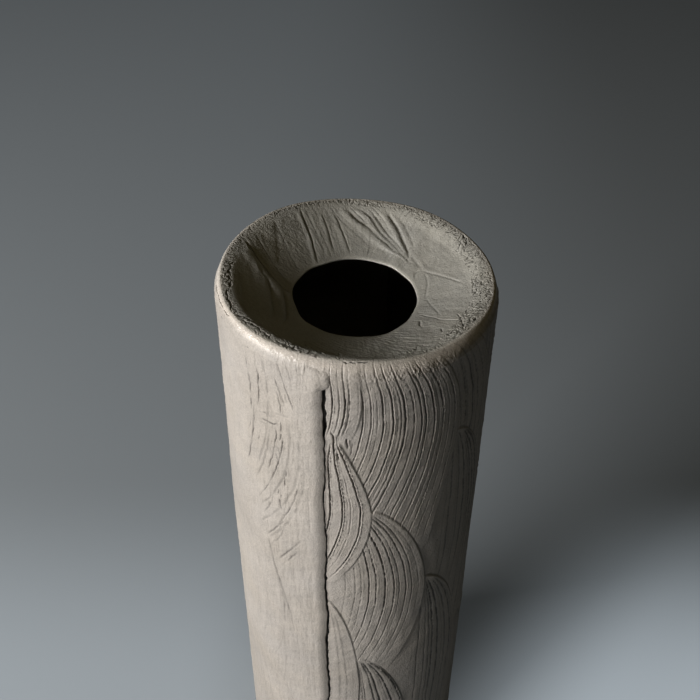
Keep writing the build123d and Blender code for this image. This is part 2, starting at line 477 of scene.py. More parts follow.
def teeth(share, width, spots, lines, softness, seed):
    """Height of the cuts, and their mask of dust and painted shade, at a share of the way across a stroke of
    a width in millimetres.
    """
    rng = np.random.default_rng(seed)
    at, bite = np.array(lines, float).T
    wander = 0.07 * swell(spots, 13, seed + 1) + 0.04 * swell(spots, 3, seed + 2)
    wander = wander + 0.045 * swell(spots, 1.2, seed + 7)
    share = share + wander / width
    tooth = nearest_line(share, at)
    away = (share - at[tooth]) * width
    room = np.gradient(at)[tooth] * width
    skips = (rng.uniform(0, 1, len(at)) ** 2)[tooth]
    torn = swell(spots, 1.5, seed + 5)
    steady = 0.95 + 0.16 * swell(spots, 9, seed + 3) + 0.5 * skips * swell(spots, 2.2, seed + 4) + 0.2 * torn
    bite = bite[tooth] ** 1.5 * np.clip(steady, 0, 1.25) * smooth_step((room - 0.4) / 1.0)
    narrow = rng.uniform(*CUT_WIDTHS, len(at))[tooth]
    burr = np.clip(0.24 + 0.16 * torn, 0.04, 0.6)
    sharp = burr * ridge(away - BURR_PLACE, BURR_WIDTH) + 0.12 * ridge(away + BURR_PLACE, 0.24)
    sharp = sharp - ridge(away, narrow)
    soft = 0.35 * ridge(away - SOFT_BURR_PLACE, SOFT_WIDTH) - 0.8 * ridge(away, SOFT_WIDTH)
    height = bite * ((1 - softness) * sharp + softness * soft)
    # Painted shade darkens each cut through the mask.
    mask = np.clip(2.0 * bite * (1 - 0.6 * softness), 0, 1.3) * ridge(away, 1.1 * narrow + 0.5 * softness)

    scratches = np.sort(rng.uniform(0, 1, SCRATCHES_PER_TOOTH * len(lines)))
    scratch = nearest_line(share, scratches)
    off = (share - scratches[scratch]) * width
    faint = (rng.uniform(0, 1, len(scratches)) ** 2)[scratch]
    faint = faint * np.clip(0.45 + 0.6 * swell(spots, 7, seed + 6), 0, 1)
    faint = faint * (1 - softness)
    burr = 0.4 * ridge(off - 0.36, 0.18)
    height = height + SCRATCH_DEPTH * faint * (burr - ridge(off, SCRATCH_WIDTH))
    # Each scratch is darkened a little with painted shade.
    return height, np.maximum(mask, 0.3 * faint * ridge(off, 0.18))


print("teeth of an uneven comb:", [f"{at:.2f}" for at, _ in uneven_teeth(5, 1)])

# %% [markdown]
# A stroke is laid over the clay that is already there. Inside its outline the old relief is replaced, and
# just outside its outer edge a thin crease is left where the pushed clay meets the older surface, darkened
# with painted shade. The tool was lifted slowly at the end of a stroke, so the cuts grow faint towards its
# foot. A stroke is kept as its two sides, its teeth, the depth and softness of its cuts, the lift of its
# outer edge, and the length over which its foot fades.

# %% One stroke
Stroke = namedtuple("Stroke", "edge root teeth depth softness lift fade")
EDGE_SOFT, ROOT_FADE, FOOT_FADE, TOP_FADE = 0.8, 3, 14, 1.2
CREASE_PLACE, CREASE_WIDTH, CREASE_FADE = 0.4, 0.36, 30
STEEPEST, FAINTEST = 3, 0.25


def lay_stroke(relief, mask, u, v, stroke, seed):
    """Changes relief and mask in place: lift rising from root to edge plus teeth, inside the outline."""
    top, foot = stroke.edge[0][1], stroke.edge[-1][1]
    sway = 0.12 * swell((u, v), 50, seed)
    edge, root = side_line(v, stroke.edge) + sway, side_line(v, stroke.root) + sway
    width = np.maximum(edge - root, 0.4)
    share = (u - root) / width
    lean = share * (side_line(v + 0.5, stroke.edge) - side_line(v - 0.5, stroke.edge))
    lean = lean + (1 - share) * (side_line(v + 0.5, stroke.root) - side_line(v - 0.5, stroke.root))
    upright = 1 / np.sqrt(1 + np.clip(lean, -STEEPEST, STEEPEST) ** 2)
    cuts, marks = teeth(share, width * upright, (u, v), stroke.teeth, stroke.softness, seed)
    fresh = FAINTEST + (1 - FAINTEST) * smooth_step((v - foot) / stroke.fade)
    outside = (u - edge) * upright
    inside = smooth_step(0.5 - outside / EDGE_SOFT) * smooth_step((u - root) / ROOT_FADE)
    inside = inside * smooth_step((v - foot) / FOOT_FADE) * smooth_step((top - v) / TOP_FADE)
    crease = ridge(outside - CREASE_PLACE, CREASE_WIDTH) * smooth_step((v - foot) / CREASE_FADE)
    crease = crease * (v < top) * (u > root) * fresh
    shape = stroke.lift * smooth_step(share) + stroke.depth * fresh * cuts
    relief[...] = relief * (1 - inside) + shape * inside - 0.3 * stroke.lift * crease
    # Painted shade darkens the cuts and the crease beside the outer edge.
    mask[...] = np.maximum(mask * (1 - inside) + marks * fresh * inside, 0.55 * crease)


trial_u, trial_v = np.meshgrid(np.linspace(-5.0, 15, 80), np.linspace(0.0, 100, 60))
trial_stroke = Stroke(trial_side, [(-5, 100), (0, 50), (-5, 0)], uneven_teeth(6, 1), 0.5, 0.0, 0.4, 40)
trial_relief = np.zeros(trial_u.shape)
lay_stroke(trial_relief, np.zeros(trial_u.shape), trial_u, trial_v, trial_stroke, 1)
print("relief of a trial stroke:", span(trial_relief))

# %% [markdown]
# ## The strokes on this vase
# The photograph shows nine strokes to the right of the seam, and their outlines and main teeth are set to
# match it. The photograph doesn't show the back, so the same leaf is repeated round it in staggered
# columns, each a little different. The furrows of the back are broad and soft, because the wall's grid is
# coarser there. Strokes are laid from the back towards the seam and from the top down, because the
# photograph shows them overlapping that way.

# %% Strokes of the back
COLUMNS, COLUMN_STEP, COLUMN_START = 8, 34, 62
LEVELS, LEVEL_STEP, LEVEL_START, STAGGER = 5, 93, 292, 47


def back_strokes():
    """Staggered columns of one leaf outline from the far end of the slab to the right-hand side."""
    rng = np.random.default_rng(41)
    outline = np.array([(-25, 56), (0, 0), (-15, -58)]), np.array([(-42, 56), (-39, 15), (-46, -34)])
    for column in range(COLUMNS, 0, -1):
        for level in range(LEVELS):
            height = LEVEL_START - STAGGER * (column % 2) - LEVEL_STEP * level
            spot = (COLUMN_START + COLUMN_STEP * column, height) + rng.uniform(-4, 4, 2)
            edge, root = ([tuple(p) for p in part * rng.uniform(0.9, 1.1) + spot] for part in outline)
            comb = uneven_teeth(int(rng.integers(8, 15)), 10 * column + level)
            yield Stroke(edge, root, comb, 0.5, rng.uniform(0.8, 1.0), rng.uniform(0.5, 0.8), 45)


strokes = list(back_strokes())
print(len(strokes), "strokes round the back")

# %% [markdown]
# At the front each stroke has its own two sides as (u, v) places from its top to its foot. The clearest
# ones also have a comb of their own, where each tooth is a share of the way across and a bite. The others
# get teeth at random.

# %% Strokes of the front
tall_comb = [(0.074, 0.7), (0.144, 0.6), (0.2, 0.3), (0.248, 0.9), (0.329, 1.0), (0.37, 0.3), (0.401, 0.45)]
tall_comb += [(0.438, 1.0), (0.517, 0.55), (0.587, 0.85), (0.629, 0.9), (0.71, 1.15), (0.76, 0.3)]
tall_comb += [(0.802, 0.9), (0.87, 0.4), (0.935, 0.7)]
short_comb = [(0.235, 0.9), (0.42, 0.5), (0.57, 0.9), (0.69, 0.6), (0.93, 0.2)]
round_comb = [(0.15, 0.3), (0.25, 0.4), (0.31, 0.4), (0.39, 0.9), (0.46, 0.6), (0.555, 1.0), (0.645, 0.85)]
round_comb += [(0.7, 0.5), (0.775, 0.7), (0.84, 0.6), (0.92, 0.3)]
leaf_comb = [(0.21, 0.9), (0.455, 1.0), (0.62, 0.25), (0.8, 1.0)]
tall_edge = [(27, 304), (38.5, 285), (42.7, 262), (39.5, 236), (31, 194)]
tall_root = [(-2.5, 304), (-0.3, 284), (-2.6, 260), (-12, 236), (-29, 203)]
short_edge = [(0.2, 308), (2.35, 288), (1.7, 276), (-3.5, 262)]
short_root = [(-13.5, 308), (-11.2, 288), (-11.5, 276), (-14.5, 262)]
leaf_edge = [(-5.6, 264.5), (0.5, 250), (6.0, 227), (4.3, 207.8), (-9, 181)]
leaf_root = [(-9, 264.5), (-13, 238), (-26, 181)]
far_edge, far_root = [(30, 312), (66, 258), (60, 200)], [(24, 312), (43, 258), (34, 200)]
side_edge, side_root = [(42.5, 256), (66, 200), (60, 150)], [(41, 256), (38, 200), (32, 150)]
low_edge, low_root = [(31, 175.5), (58, 102), (50, 20)], [(29, 175.5), (27, 102), (20, 20)]
round_edge, round_root = [(5.5, 227.5), (31.6, 171), (14, 112)], [(-16, 227.5), (-9, 186), (-20, 130)]
foot_edge, foot_root = [(3.5, 126), (25.5, 70), (18, 0)], [(0, 126), (-3, 90), (-8, 0)]
faint_edge, faint_root = [(-11.5, 169), (3, 105), (-4, 40)], [(-12, 169), (-12, 105), (-18, 40)]
front_strokes = [
    Stroke(far_edge, far_root, uneven_teeth(10, 1), 0.34, 0.4, 0.4, 40),
    Stroke(side_edge, side_root, uneven_teeth(9, 2), 0.38, 0.4, 0.4, 40),
    Stroke(low_edge, low_root, uneven_teeth(10, 3), 0.4, 0.5, 0.5, 90),
    Stroke(tall_edge, tall_root, tall_comb, 0.78, 0.05, 0.45, 45),
    Stroke(short_edge, short_root, short_comb, 0.85, 0.03, 0.3, 12),
    Stroke(round_edge, round_root, round_comb, 0.65, 0.15, 0.5, 75),
    Stroke(foot_edge, foot_root, uneven_teeth(9, 4), 0.4, 0.5, 0.5, 80),
    Stroke(faint_edge, faint_root, uneven_teeth(4, 5), 0.2, 0.6, 0.4, 80),
    Stroke(leaf_edge, leaf_root, leaf_comb, 1.0, 0.0, 0.4, 20),
]
strokes = strokes + front_strokes
print(len(strokes), "strokes,", len(front_strokes), "of them as the photograph shows")

# %% [markdown]
# ## Single cuts
# To the left of the seam the slab was rubbed nearly smooth, and only thin broken arcs are left of the
# strokes. Each is a single cut with a depth, a width and a given row of (u, v) places from its top down.
# A few short cracks run level, so they use the same function with u and v swapped.

# %% Places of the single cuts
def between(v, low, high, fade):
    """Fades in above low and out below high, over the given distance."""
    return smooth_step((v - low) / fade) * smooth_step((high - v) / fade)


Cut = namedtuple("Cut", "depth width line")
cuts = [
    Cut(0.18, 0.4, [(-44.4, 293), (-42.7, 285), (-42, 279), (-42.3, 272), (-42.7, 265)]),
    Cut(0.22, 0.4, [(-40.7, 270), (-41.6, 261), (-42.8, 254), (-44, 248), (-45.5, 242), (-47.6, 234)]),
    Cut(0.14, 0.3, [(-43.2, 262), (-43.9, 257), (-45.4, 253)]),
    Cut(0.16, 0.3, [(-38.7, 298), (-38.4, 293), (-38.6, 287)]),
    Cut(0.36, 0.27, [(-37.7, 290), (-37.5, 283), (-37.7, 278), (-38.1, 273), (-39.3, 269.5)]),
    Cut(0.3, 0.25, [(-29.8, 300), (-27.6, 294), (-25.4, 287), (-23.2, 281), (-22, 276.5)]),
    Cut(0.26, 0.26, [(-30.2, 290), (-28.5, 285.5), (-27.3, 282), (-26.5, 279), (-25.6, 276)]),
    Cut(0.2, 0.26, [(-25, 298), (-23.5, 293.5), (-22.6, 290)]),
    Cut(0.14, 0.24, [(-25.3, 284), (-24.9, 279)]),
    Cut(0.3, 0.28, [(-21.6, 300.5), (-20.8, 297.5), (-20.2, 295)]),
    Cut(0.3, 0.28, [(-18.9, 300), (-17.6, 297), (-16.2, 294)]),
    Cut(0.22, 0.28, [(-17, 294), (-16.2, 290.5)]),
    Cut(0.2, 0.3, [(-29.3, 284), (-28.4, 280), (-27.9, 276), (-27.4, 271)]),
    Cut(0.3, 0.26, [(-28, 269), (-27.9, 266), (-28, 262.5)]),
    Cut(0.22, 0.25, [(-28, 262.5), (-28.8, 258)]),
    Cut(0.34, 0.27, [(-26.9, 261), (-28.1, 254.5), (-29, 250), (-30.3, 245), (-32, 239.5), (-34.4, 233)]),
    Cut(0.2, 0.28, [(-30.6, 244), (-32, 239.5), (-34.4, 233), (-37.3, 226.5), (-42, 218)]),
    Cut(0.3, 0.26, [(-30.6, 265), (-30.2, 262), (-30.7, 258), (-31.3, 254.5), (-32, 250.5)]),
    Cut(0.22, 0.28, [(-31.3, 255), (-32.4, 249), (-33.3, 246), (-35.6, 238)]),
    Cut(0.2, 0.25, [(-30, 254.5), (-29.2, 250)]),
    Cut(0.18, 0.25, [(-31.1, 250.5), (-30.3, 246.5)]),
    Cut(0.16, 0.3, [(-38, 259), (-39.8, 251)]),
    Cut(0.22, 0.32, [(-26.6, 244), (-26.9, 239.5)]),
    Cut(0.22, 0.3, [(-27.7, 240.5), (-27.3, 237), (-27.6, 233.5)]),
    Cut(0.2, 0.3, [(-28.2, 236.5), (-28.8, 232)]),
    Cut(0.22, 0.3, [(-30.4, 231), (-30.9, 227.5)]),
    Cut(0.19, 0.3, [(-29.2, 228.5), (-29.7, 225)]),
    Cut(0.3, 0.34, [(-30.4, 225.5), (-30.2, 222), (-29.9, 218.5)]),
    Cut(0.2, 0.32, [(-21.2, 238), (-22.3, 233), (-23.6, 228), (-25.9, 221.5), (-28.8, 215), (-32.5, 207.5)]),
    Cut(0.18, 0.4, [(-33, 226.5), (-34.5, 220.5), (-36.5, 216), (-39.6, 210)]),
    Cut(0.16, 0.35, [(-26.5, 215), (-26.9, 211)]),
    Cut(0.18, 0.4, [(-28, 214), (-33, 206), (-38.5, 197)]),
    Cut(0.14, 0.4, [(-28.6, 209.5), (-30.5, 203), (-34, 196)]),
    Cut(0.19, 0.45, [(-20.4, 207), (-26, 197), (-33, 185.5)]),
    Cut(0.18, 0.45, [(-21.5, 200), (-26.5, 191), (-32, 181.5)]),
    Cut(0.13, 0.6, [(-37.6, 198), (-35.6, 183), (-32.6, 171), (-28, 151), (-26.5, 138)]),
    Cut(0.11, 0.6, [(-37, 188), (-33.6, 174), (-31, 160), (-31.5, 140)]),
    Cut(0.11, 0.5, [(-35.2, 297), (-33.6, 286), (-33.2, 276), (-34.2, 264), (-36.5, 252), (-41, 238)]),
    Cut(0.11, 0.5, [(-33, 264), (-35, 251), (-38, 240), (-43, 228)]),
    Cut(0.11, 0.55, [(-24.6, 273), (-24.2, 260), (-25.6, 248), (-29, 236), (-34.5, 224), (-41, 214)]),
    Cut(0.096, 0.6, [(-20.6, 264), (-20.8, 248), (-23.2, 236), (-28, 224), (-34.6, 213), (-42, 203)]),
    Cut(0.08, 0.6, [(-18.4, 250), (-19.4, 236), (-23, 222), (-29.5, 208), (-38, 195)]),
    Cut(0.7, 0.33, [(-9.3, 270.5), (-7.7, 267.5), (-7.6, 263), (-7.6, 258)]),
    Cut(0.5, 0.3, [(-6.3, 259.5), (-5.9, 255.5)]),
    Cut(0.5, 0.3, [(-5.4, 272), (-5.8, 265.5)]),
    Cut(0.6, 0.32, [(-3.1, 267.5), (-2.4, 261.5)]),
    Cut(0.3, 0.28, [(-0.8, 265), (-1.4, 258)]),
]
level_cuts = [
    Cut(0.18, 0.36, [(268.9, -31), (268.4, -34), (268.9, -35), (268.5, -37)]),
    Cut(0.32, 0.34, [(267, -28.6), (266.4, -29.8), (265, -31.3), (265.2, -33), (264.9, -35.6), (264.2, -38)]),
    Cut(0.12, 0.34, [(263.4, -34), (262.6, -38.5)]),
    Cut(0.1, 0.36, [(274, -20), (272.6, -25), (271.2, -31)]),
    Cut(0.3, 0.3, [(294.4, -16.6), (295.4, -19.6)]),
    Cut(0.4, 0.36, [(289.8, -9.6), (290.5, -11.5), (289.6, -13.5)]),
]
print(len(cuts), "cuts run down and", len(level_cuts), "run level")

# %% [markdown]
# A cut follows the straight lines between its places, with a slow and a quick waver added. It fades in and
# out at its ends, and the clay that it pushed aside lies along its right as a low burr.

# %% One single cut
BURR_SHARE, BURR_OFFSET = 0.35, 2.2


def cut_clay(relief, mask, u, v, cut, seed):
    """Lowers relief along one cut, with a burr on its right, biting a little deeper here and there."""
    line_u, line_v = np.array(cut.line[::-1], float).T
    low, high = line_v[0], line_v[-1]
    away = u - np.interp(v, line_v, line_u) - 0.07 * swell((v,), 6, seed) - 0.05 * swell((v,), 1.7, seed + 2)
    fade = min(4, 0.25 * (high - low))
    strength = between(v, low, high, fade) * np.clip(0.9 + 0.3 * swell((v, 0.2 * u), 9, seed + 1), 0.25, 1.2)
    burr = BURR_SHARE * ridge(away - BURR_OFFSET * cut.width, cut.width)
    relief += cut.depth * strength * (burr - ridge(away, cut.width))
    # Painted shade darkens the cut through the mask.
    mask[...] = np.maximum(mask, np.clip(4.0 * cut.depth * strength, 0, 1.2) * ridge(away, cut.width))


trial_relief = np.zeros(trial_u.shape)
cut_clay(trial_relief, np.zeros(trial_u.shape), trial_u, trial_v, Cut(0.3, 0.3, [(2, 90), (4, 10)]), 1)
print("relief of a trial cut:", span(trial_relief))

# %% [markdown]
# ## The slab's surface
# The relief of the whole slab is the strokes in their order, rubbed down towards the left of the seam,
# then the single cuts, the marks of wiping fingers, and a gentle lumpiness. Each stroke is worked out only
# on the part of the grid that it covers, which keeps the script quick. Near the foot the relief fades,
# since the joint with the floor was wiped smooth, and it is fainter where the joint with the collar was
# wiped.

# %% Relief of the slab
RELIEF_MIDDLE = 0.35
RUBBED_SHARE, RUBBED_START, RUBBED_OVER = 0.85, 205, 55
WINDOW_SIDE = 3


def window(u, v, left, right, low, high):
    """Rows and columns of a grid that hold any point of a rectangle of the slab, as a pair of slices."""
    columns = np.flatnonzero((u.max(0) > left) & (u.min(0) < right))
    rows = np.flatnonzero((v.max(1) > low) & (v.min(1) < high))
    if not len(columns) or not len(rows):
        return np.s_[0:0, 0:0]
    return np.s_[rows[0] : rows[-1] + 1, columns[0] : columns[-1] + 1]


def slab_relief(u, v):
    """Height above the plain tube and mask of dust and painted shade at places u, v, with u counted on from
    the seam.
    """
    relief, mask = np.zeros(u.shape), np.zeros(u.shape)
    for number, stroke in enumerate(strokes):
        left, right = min(p[0] for p in stroke.root) - 6, max(p[0] for p in stroke.edge) + 4
        foot, top = stroke.edge[-1][1] - WINDOW_SIDE, stroke.edge[0][1] + WINDOW_SIDE
        part = window(u, v, left, right, foot, top)
        lay_stroke(relief[part], mask[part], u[part], v[part], stroke, 100 + 10 * number)
    rubbed = RUBBED_SHARE * smooth_step((u - RUBBED_START) / RUBBED_OVER)
    relief, mask = relief * (1 - rubbed), mask * (1 - rubbed)
    relief = relief + rubbed * RELIEF_MIDDLE
    for number, cut in enumerate(cuts):
        turn = around if cut.line[0][0] < seam_place else 0
        places = [p[0] + turn for p in cut.line]
        left, right = min(places) - WINDOW_SIDE, max(places) + WINDOW_SIDE
        part = window(u, v, left, right, cut.line[-1][1], cut.line[0][1])
        cut_clay(relief[part], mask[part], u[part] - turn, v[part], cut, 600 + 10 * number)
    for number, cut in enumerate(level_cuts):
        levels = [p[0] for p in cut.line]
        turn = around if cut.line[0][1] < seam_place else 0
        low, high = min(levels) - WINDOW_SIDE, max(levels) + WINDOW_SIDE
        part = window(u, v, cut.line[-1][1] + turn, cut.line[0][1] + turn, low, high)
        cut_clay(relief[part], mask[part], v[part], u[part] - turn, cut, 900 + 10 * number)
    lumps = 0.05 * swell((u, v), 8, 33) + 0.02 * swell((u, v), 2.6, 34)
    wipes = 0.035 * swell((u, 0.12 * v), 2.4, 35) + 0.02 * swell((u, 0.1 * v), 1.1, 36)
    below_joint = seat_height - rim_lean * body_radius * np.sin(u / body_radius) - v
    wiped = 0.3 + 0.7 * smooth_step((below_joint + 3) / 16)
    relief = (relief - RELIEF_MIDDLE) * wiped + lumps + rubbed * wipes
    mask = mask * (0.4 + 0.6 * smooth_step((below_joint + 2) / 12))
    return relief * smooth_step((v - wall_foot) / 7), mask * smooth_step((v - wall_foot) / 7)


trial_u, trial_v = np.meshgrid(np.arange(0.0, 40, 0.5), np.arange(200.0, 280, 0.5))
trial_relief = slab_relief(trial_u, trial_v)[0]
print("relief of a part of the front:", span(trial_relief))

# %% [markdown]
# ## The lapped seam
# The slab's left-hand end was laid over its right-hand end and pressed down. The upper end rises by a
# step, its edge is rounded and a little torn, and beside it a trench is left where the clay pulled away,
# which is also darkened with painted shade. Both ends are thinned to a bevel where they lap, with slip
# between them. The seam isn't a ruled line, so both ends follow one wavering line. The trench is widest
# just below the wad at the top, and it opens a little more again lower down.

# %% Shape of the seam
LAP_LENGTH, LAP_STEP, LAP_RAMP, LAP_TIP = 14.0, 1.3, 20.0, 1.0
ROLL, TRENCH = 3.6, 1.9
PULLED = 139


def seam_sway(v):
    """Sideways wander of the seam at height v, in millimetres, and none at the top."""
    wander = 0.2 * swell((v,), 38, 51) + 0.1 * swell((v,), 11, 52) - 0.5 * ridge(v - PULLED, 9)
    return wander * smooth_step((291 - v) / 8)


def seam_depth(v):
    """Share of the full trench at height v: none under the wad at the top or near the foot."""
    return between(v, 10, 292, 4) * (1 + 0.15 * swell((v,), 17, 53))


def trench_width(v):
    """How far the trench opens beside the seam at height v: wide below the wad and at one pulled place."""
    open_places = 0.75 * smooth_step((v - 262) / 9) + 0.3 * smooth_step((215 - v) / 30)
    open_places = open_places + 0.25 * ridge(v - (PULLED + 1), 16)
    return np.maximum(0.25 + open_places + 0.07 * swell((v,), 15, 56) + 0.08 * swell((v,), 5, 57), 0.14)


def lap_rise(before, v):
    """Height of the upper end at a distance before its edge: a soft ramp to the step, none at the top."""
    climb = smooth_step(1 - before / LAP_RAMP)
    return LAP_STEP * climb * smooth_step((297 - v) / 10) * smooth_step((v - wall_foot) / 6)


def bevel(s):
    """Radius of the bevelled face at a distance s from the seam, which is negative under the lap."""
    return body_radius + (body_radius - bore_radius - LAP_TIP) * np.minimum(s, 0) / LAP_LENGTH


def dip(s, v):
    """Where the trench is: full beside the seam, closing under the lap and at its width in the open."""
    return smooth_step((s + 6) / 5) * smooth_step((trench_width(v) + 0.25 - s) / 0.5) * seam_depth(v)


heights = np.arange(10.0, 290)
print(f"the seam wanders by {np.ptp(seam_sway(heights)):.1f} mm")
print(f"the trench is up to {trench_width(heights).max():.1f} mm wide")

# %% [markdown]
# ## The wall in strips
# Furrows half a millimetre wide need a fine grid. Its columns are about a fifth of a millimetre apart at
# the front and 0.7 mm apart at the back, and its rows are about half a millimetre apart. That is about a
# million triangles, so the wall is cut into upright strips that stay light enough one by one. Their faces
# meet exactly, and the points along a cut get the normal of the whole surface, so that no line shows. One
# grid covers the whole slab: s is the distance from the seam, and each row keeps its share of the height,
# because the upper edge leans with the collar's seat.

# %% Columns of the slab's grid
spacings = [(-0.6, 0.15), (2.4, 0.18), (48, 0.25), (70, 0.4), (112, 0.7)]
spacings += [(around - 76, 0.4), (around - 42, 0.21)]
stops = [start for start, _ in spacings[1:]] + [around - ROLL - 1.2]
stretches = [np.arange(start, stop, step) for (start, step), stop in zip(spacings, stops)]
s_line = np.concatenate([*stretches, np.linspace(around - ROLL - 1.1, around - ROLL, 6)])
print(len(s_line), "columns from the seam once round to the lap")

# %% [markdown]
# The face itself is the plain tube with everything added to it: the relief of the slab, the trench and the
# step of the seam, and the unevenness that rolling by hand leaves in the tube.

# %% Outer face of the slab
ROWS, CLOSER_AT_TOP = 510, 0.88


def joint_height(x):
    """Height of the wall's upper edge at a place x: the leaning seat less the layer of slip."""
    return seat_height - slip_layer - rim_lean * x


def ring_place(radius, angle):
    """Place on a ring, for swells that have to meet after one turn: radius times sine and times cosine."""
    return radius * np.sin(angle), radius * np.cos(angle)


def on_pot(radius, angle, z):
    """Points at a radius and a bearing: x is radius times sine, y is minus radius times cosine."""
    return np.stack(np.broadcast_arrays(radius * np.sin(angle), -radius * np.cos(angle), z), -1)


def hand_swell(angle, v):
    """Unevenness of the rolled tube: a slow swell, a lean to the right at the top and a slight belly."""
    places = *ring_place(body_radius, angle), v
    leaning = smooth_step((v - 170) / 120) * (0.6 * np.sin(angle) - 0.2)
    return 0.1 * swell(places, 120, 61) * smooth_step((v - 8) / 30) + leaning + 0.35 * ridge(v - 190, 45)


def wall_face(s, s_swayed, v):
    """Radius and mask of dust and painted shade of the wall's face: the tube or bevel, relief, trench, lap
    and unevenness.
    """
    angle = seam_bearing + s_swayed / body_radius
    relief, mask = slab_relief(body_radius * angle, v)
    settle = smooth_step(s / 1.2) * smooth_step((around - ROLL - s + 0.4) / 2)
    trench = TRENCH * dip(s, v)
    pressed = 0.3 * ridge(s, 3) * seam_depth(v)
    radius = np.where(s < 0, bevel(s), body_radius) + relief * settle - trench - pressed
    radius = radius + lap_rise(around - s, v) + hand_swell(angle, v)
    # The trench is darkened with painted shade as well as cut in.
    return radius, np.maximum(mask * settle, np.clip(trench / 0.8, 0, 1))


near_seam = 1 - smooth_step(np.minimum(s_line + 0.6, around - s_line) / 9)
share = np.linspace(0, 1, ROWS)[:, None] ** CLOSER_AT_TOP
upper = joint_height(body_radius * np.sin(seam_bearing + s_line / body_radius))
v_grid = wall_foot + (upper - wall_foot) * share
s_grid = s_line + near_seam * seam_sway(v_grid)
radius_grid, dust_and_painted_light = wall_face(s_line + 0 * v_grid, s_grid, v_grid)
outer = on_pot(radius_grid, seam_bearing + s_grid / body_radius, v_grid)
print(f"slab: {ROWS} rows, radius up to {radius_grid.max():.1f} mm")

# %% [markdown]
# The normals of the whole face come from the slopes of the grid along its rows and columns. Only the
# columns where strips meet, and the top and bottom rows, take them. A zero tells Blender to work out the
# rest by itself.

# %% Normals where strips meet
def grid_normals(points):
    """Unit vectors square to a grid: the cross product of its slopes along columns and rows."""
    across = np.cross(np.gradient(points, axis=1), np.gradient(points, axis=0))
    return across / np.linalg.norm(across, axis=-1, keepdims=True)


outer_normals = grid_normals(outer)
STRIPS = 7
cut_columns = np.linspace(0, len(s_line) - 1, STRIPS + 1).astype(int)
print("strips meet at", ", ".join(f"{s_line[c]:.0f}" for c in cut_columns[1:-1]), "mm from the seam")

# %% [markdown]
# The slab's lower end runs on under the lap as a bevel. It is hidden but for the trench, so a few columns
# are enough. The sway of the seam and the tube's unevenness fade out along it.

# %% Bevelled end under the lap
SETTLE = 9


def fade_under(s):
    """Share of the outside's unevenness that is left at a distance s under the lap, which is negative."""
    return smooth_step((s + SETTLE) / SETTLE)


v_side = wall_foot + (joint_height(0) - wall_foot) * share
hidden = np.array([-LAP_LENGTH, -11, -8, -6, -4.5, -3.2, -2.2, -1.3])
hidden_bearing = seam_bearing + (hidden + fade_under(hidden) * seam_sway(v_side)) / body_radius
hidden_swell = hand_swell(hidden_bearing, v_side) * fade_under(hidden)
under_lap = on_pot(bevel(hidden) + hidden_swell - TRENCH * dip(hidden, v_side), hidden_bearing, v_side)
print(f"the bevelled end is {under_lap.shape[1]} columns wide and {LAP_LENGTH:.0f} mm long")

# %% [markdown]
# The upper end rolls down to a lip and tucks in below it, which gives the soft, torn edge beside the
# trench. Its underside is the bevel again, one layer of slip higher. The roll is a power curve, and the
# tuck is a quarter of a round.

# %% Torn edge over the lap
OVER_TRENCH = 1.4
v_edge = v_grid[:, -1:]
torn = 1 + 0.014 * swell((v_edge,), 17, 54) + 0.008 * swell((v_edge,), 4.5, 55)
roll = np.linspace(0, 1, 15)[1:] ** 0.8
tuck = np.linspace(0, np.pi / 2, 7)[1:]
edge_swell = hand_swell(seam_bearing, v_edge)
edge_top = radius_grid[:, -1:]
lip_radius = body_radius + edge_swell + 0.1 - 0.15 * seam_depth(v_edge)
edge_foot = body_radius + edge_swell - 1.1 * seam_depth(v_edge)
roll_place = around - ROLL + ROLL * torn * roll
roll_radius = edge_top + (lip_radius - edge_top) * roll**1.8
tuck_place = around - ROLL + ROLL * torn - 0.4 * (1 - np.cos(tuck))
tuck_radius = lip_radius + (edge_foot - lip_radius) * np.sin(tuck)
edge_radius = np.concatenate([roll_radius, tuck_radius], axis=1)
edge_place = np.concatenate([roll_place, tuck_place], axis=1) + seam_sway(v_edge)
torn_edge = on_pot(edge_radius, seam_bearing + edge_place / body_radius, v_edge)
# Painted shade under the lip of the torn edge.
torn_edge_shade = smooth_step((lip_radius + 0.12 - edge_radius) / 0.35)
over_radius = bevel(hidden) + hidden_swell + slip_layer - OVER_TRENCH * dip(hidden, v_side)
over_lap = on_pot(over_radius, hidden_bearing, v_edge)[:, ::-1]
print(f"the torn edge falls by up to {(edge_top - edge_foot).max():.1f} mm")

# %% [markdown]
# Each strip is a ring of points for each row: the outer face, then the inner face back again. The first
# strip also has the bevelled end that runs under the lap, and the last one has the torn edge of the upper
# end and its underside. The inside of a pot gets little light, so it is painted dark as shade and its mask
# is set high. The hidden ends in the lap and the underside of the torn edge get painted shade too.

# %% Strips of the wall
PAINTED_INSIDE_SHADE, BORE_COLUMNS = 0.9, 9


def inner_face(first, last, count):
    """Points of the bore from one bearing to another, a little uneven as fingers leave it."""
    angle = np.linspace(first, last, count)
    uneven = 0.12 * swell((*ring_place(bore_radius, angle), v_side), 40, 71)
    return on_pot(bore_radius + uneven, angle, v_side)


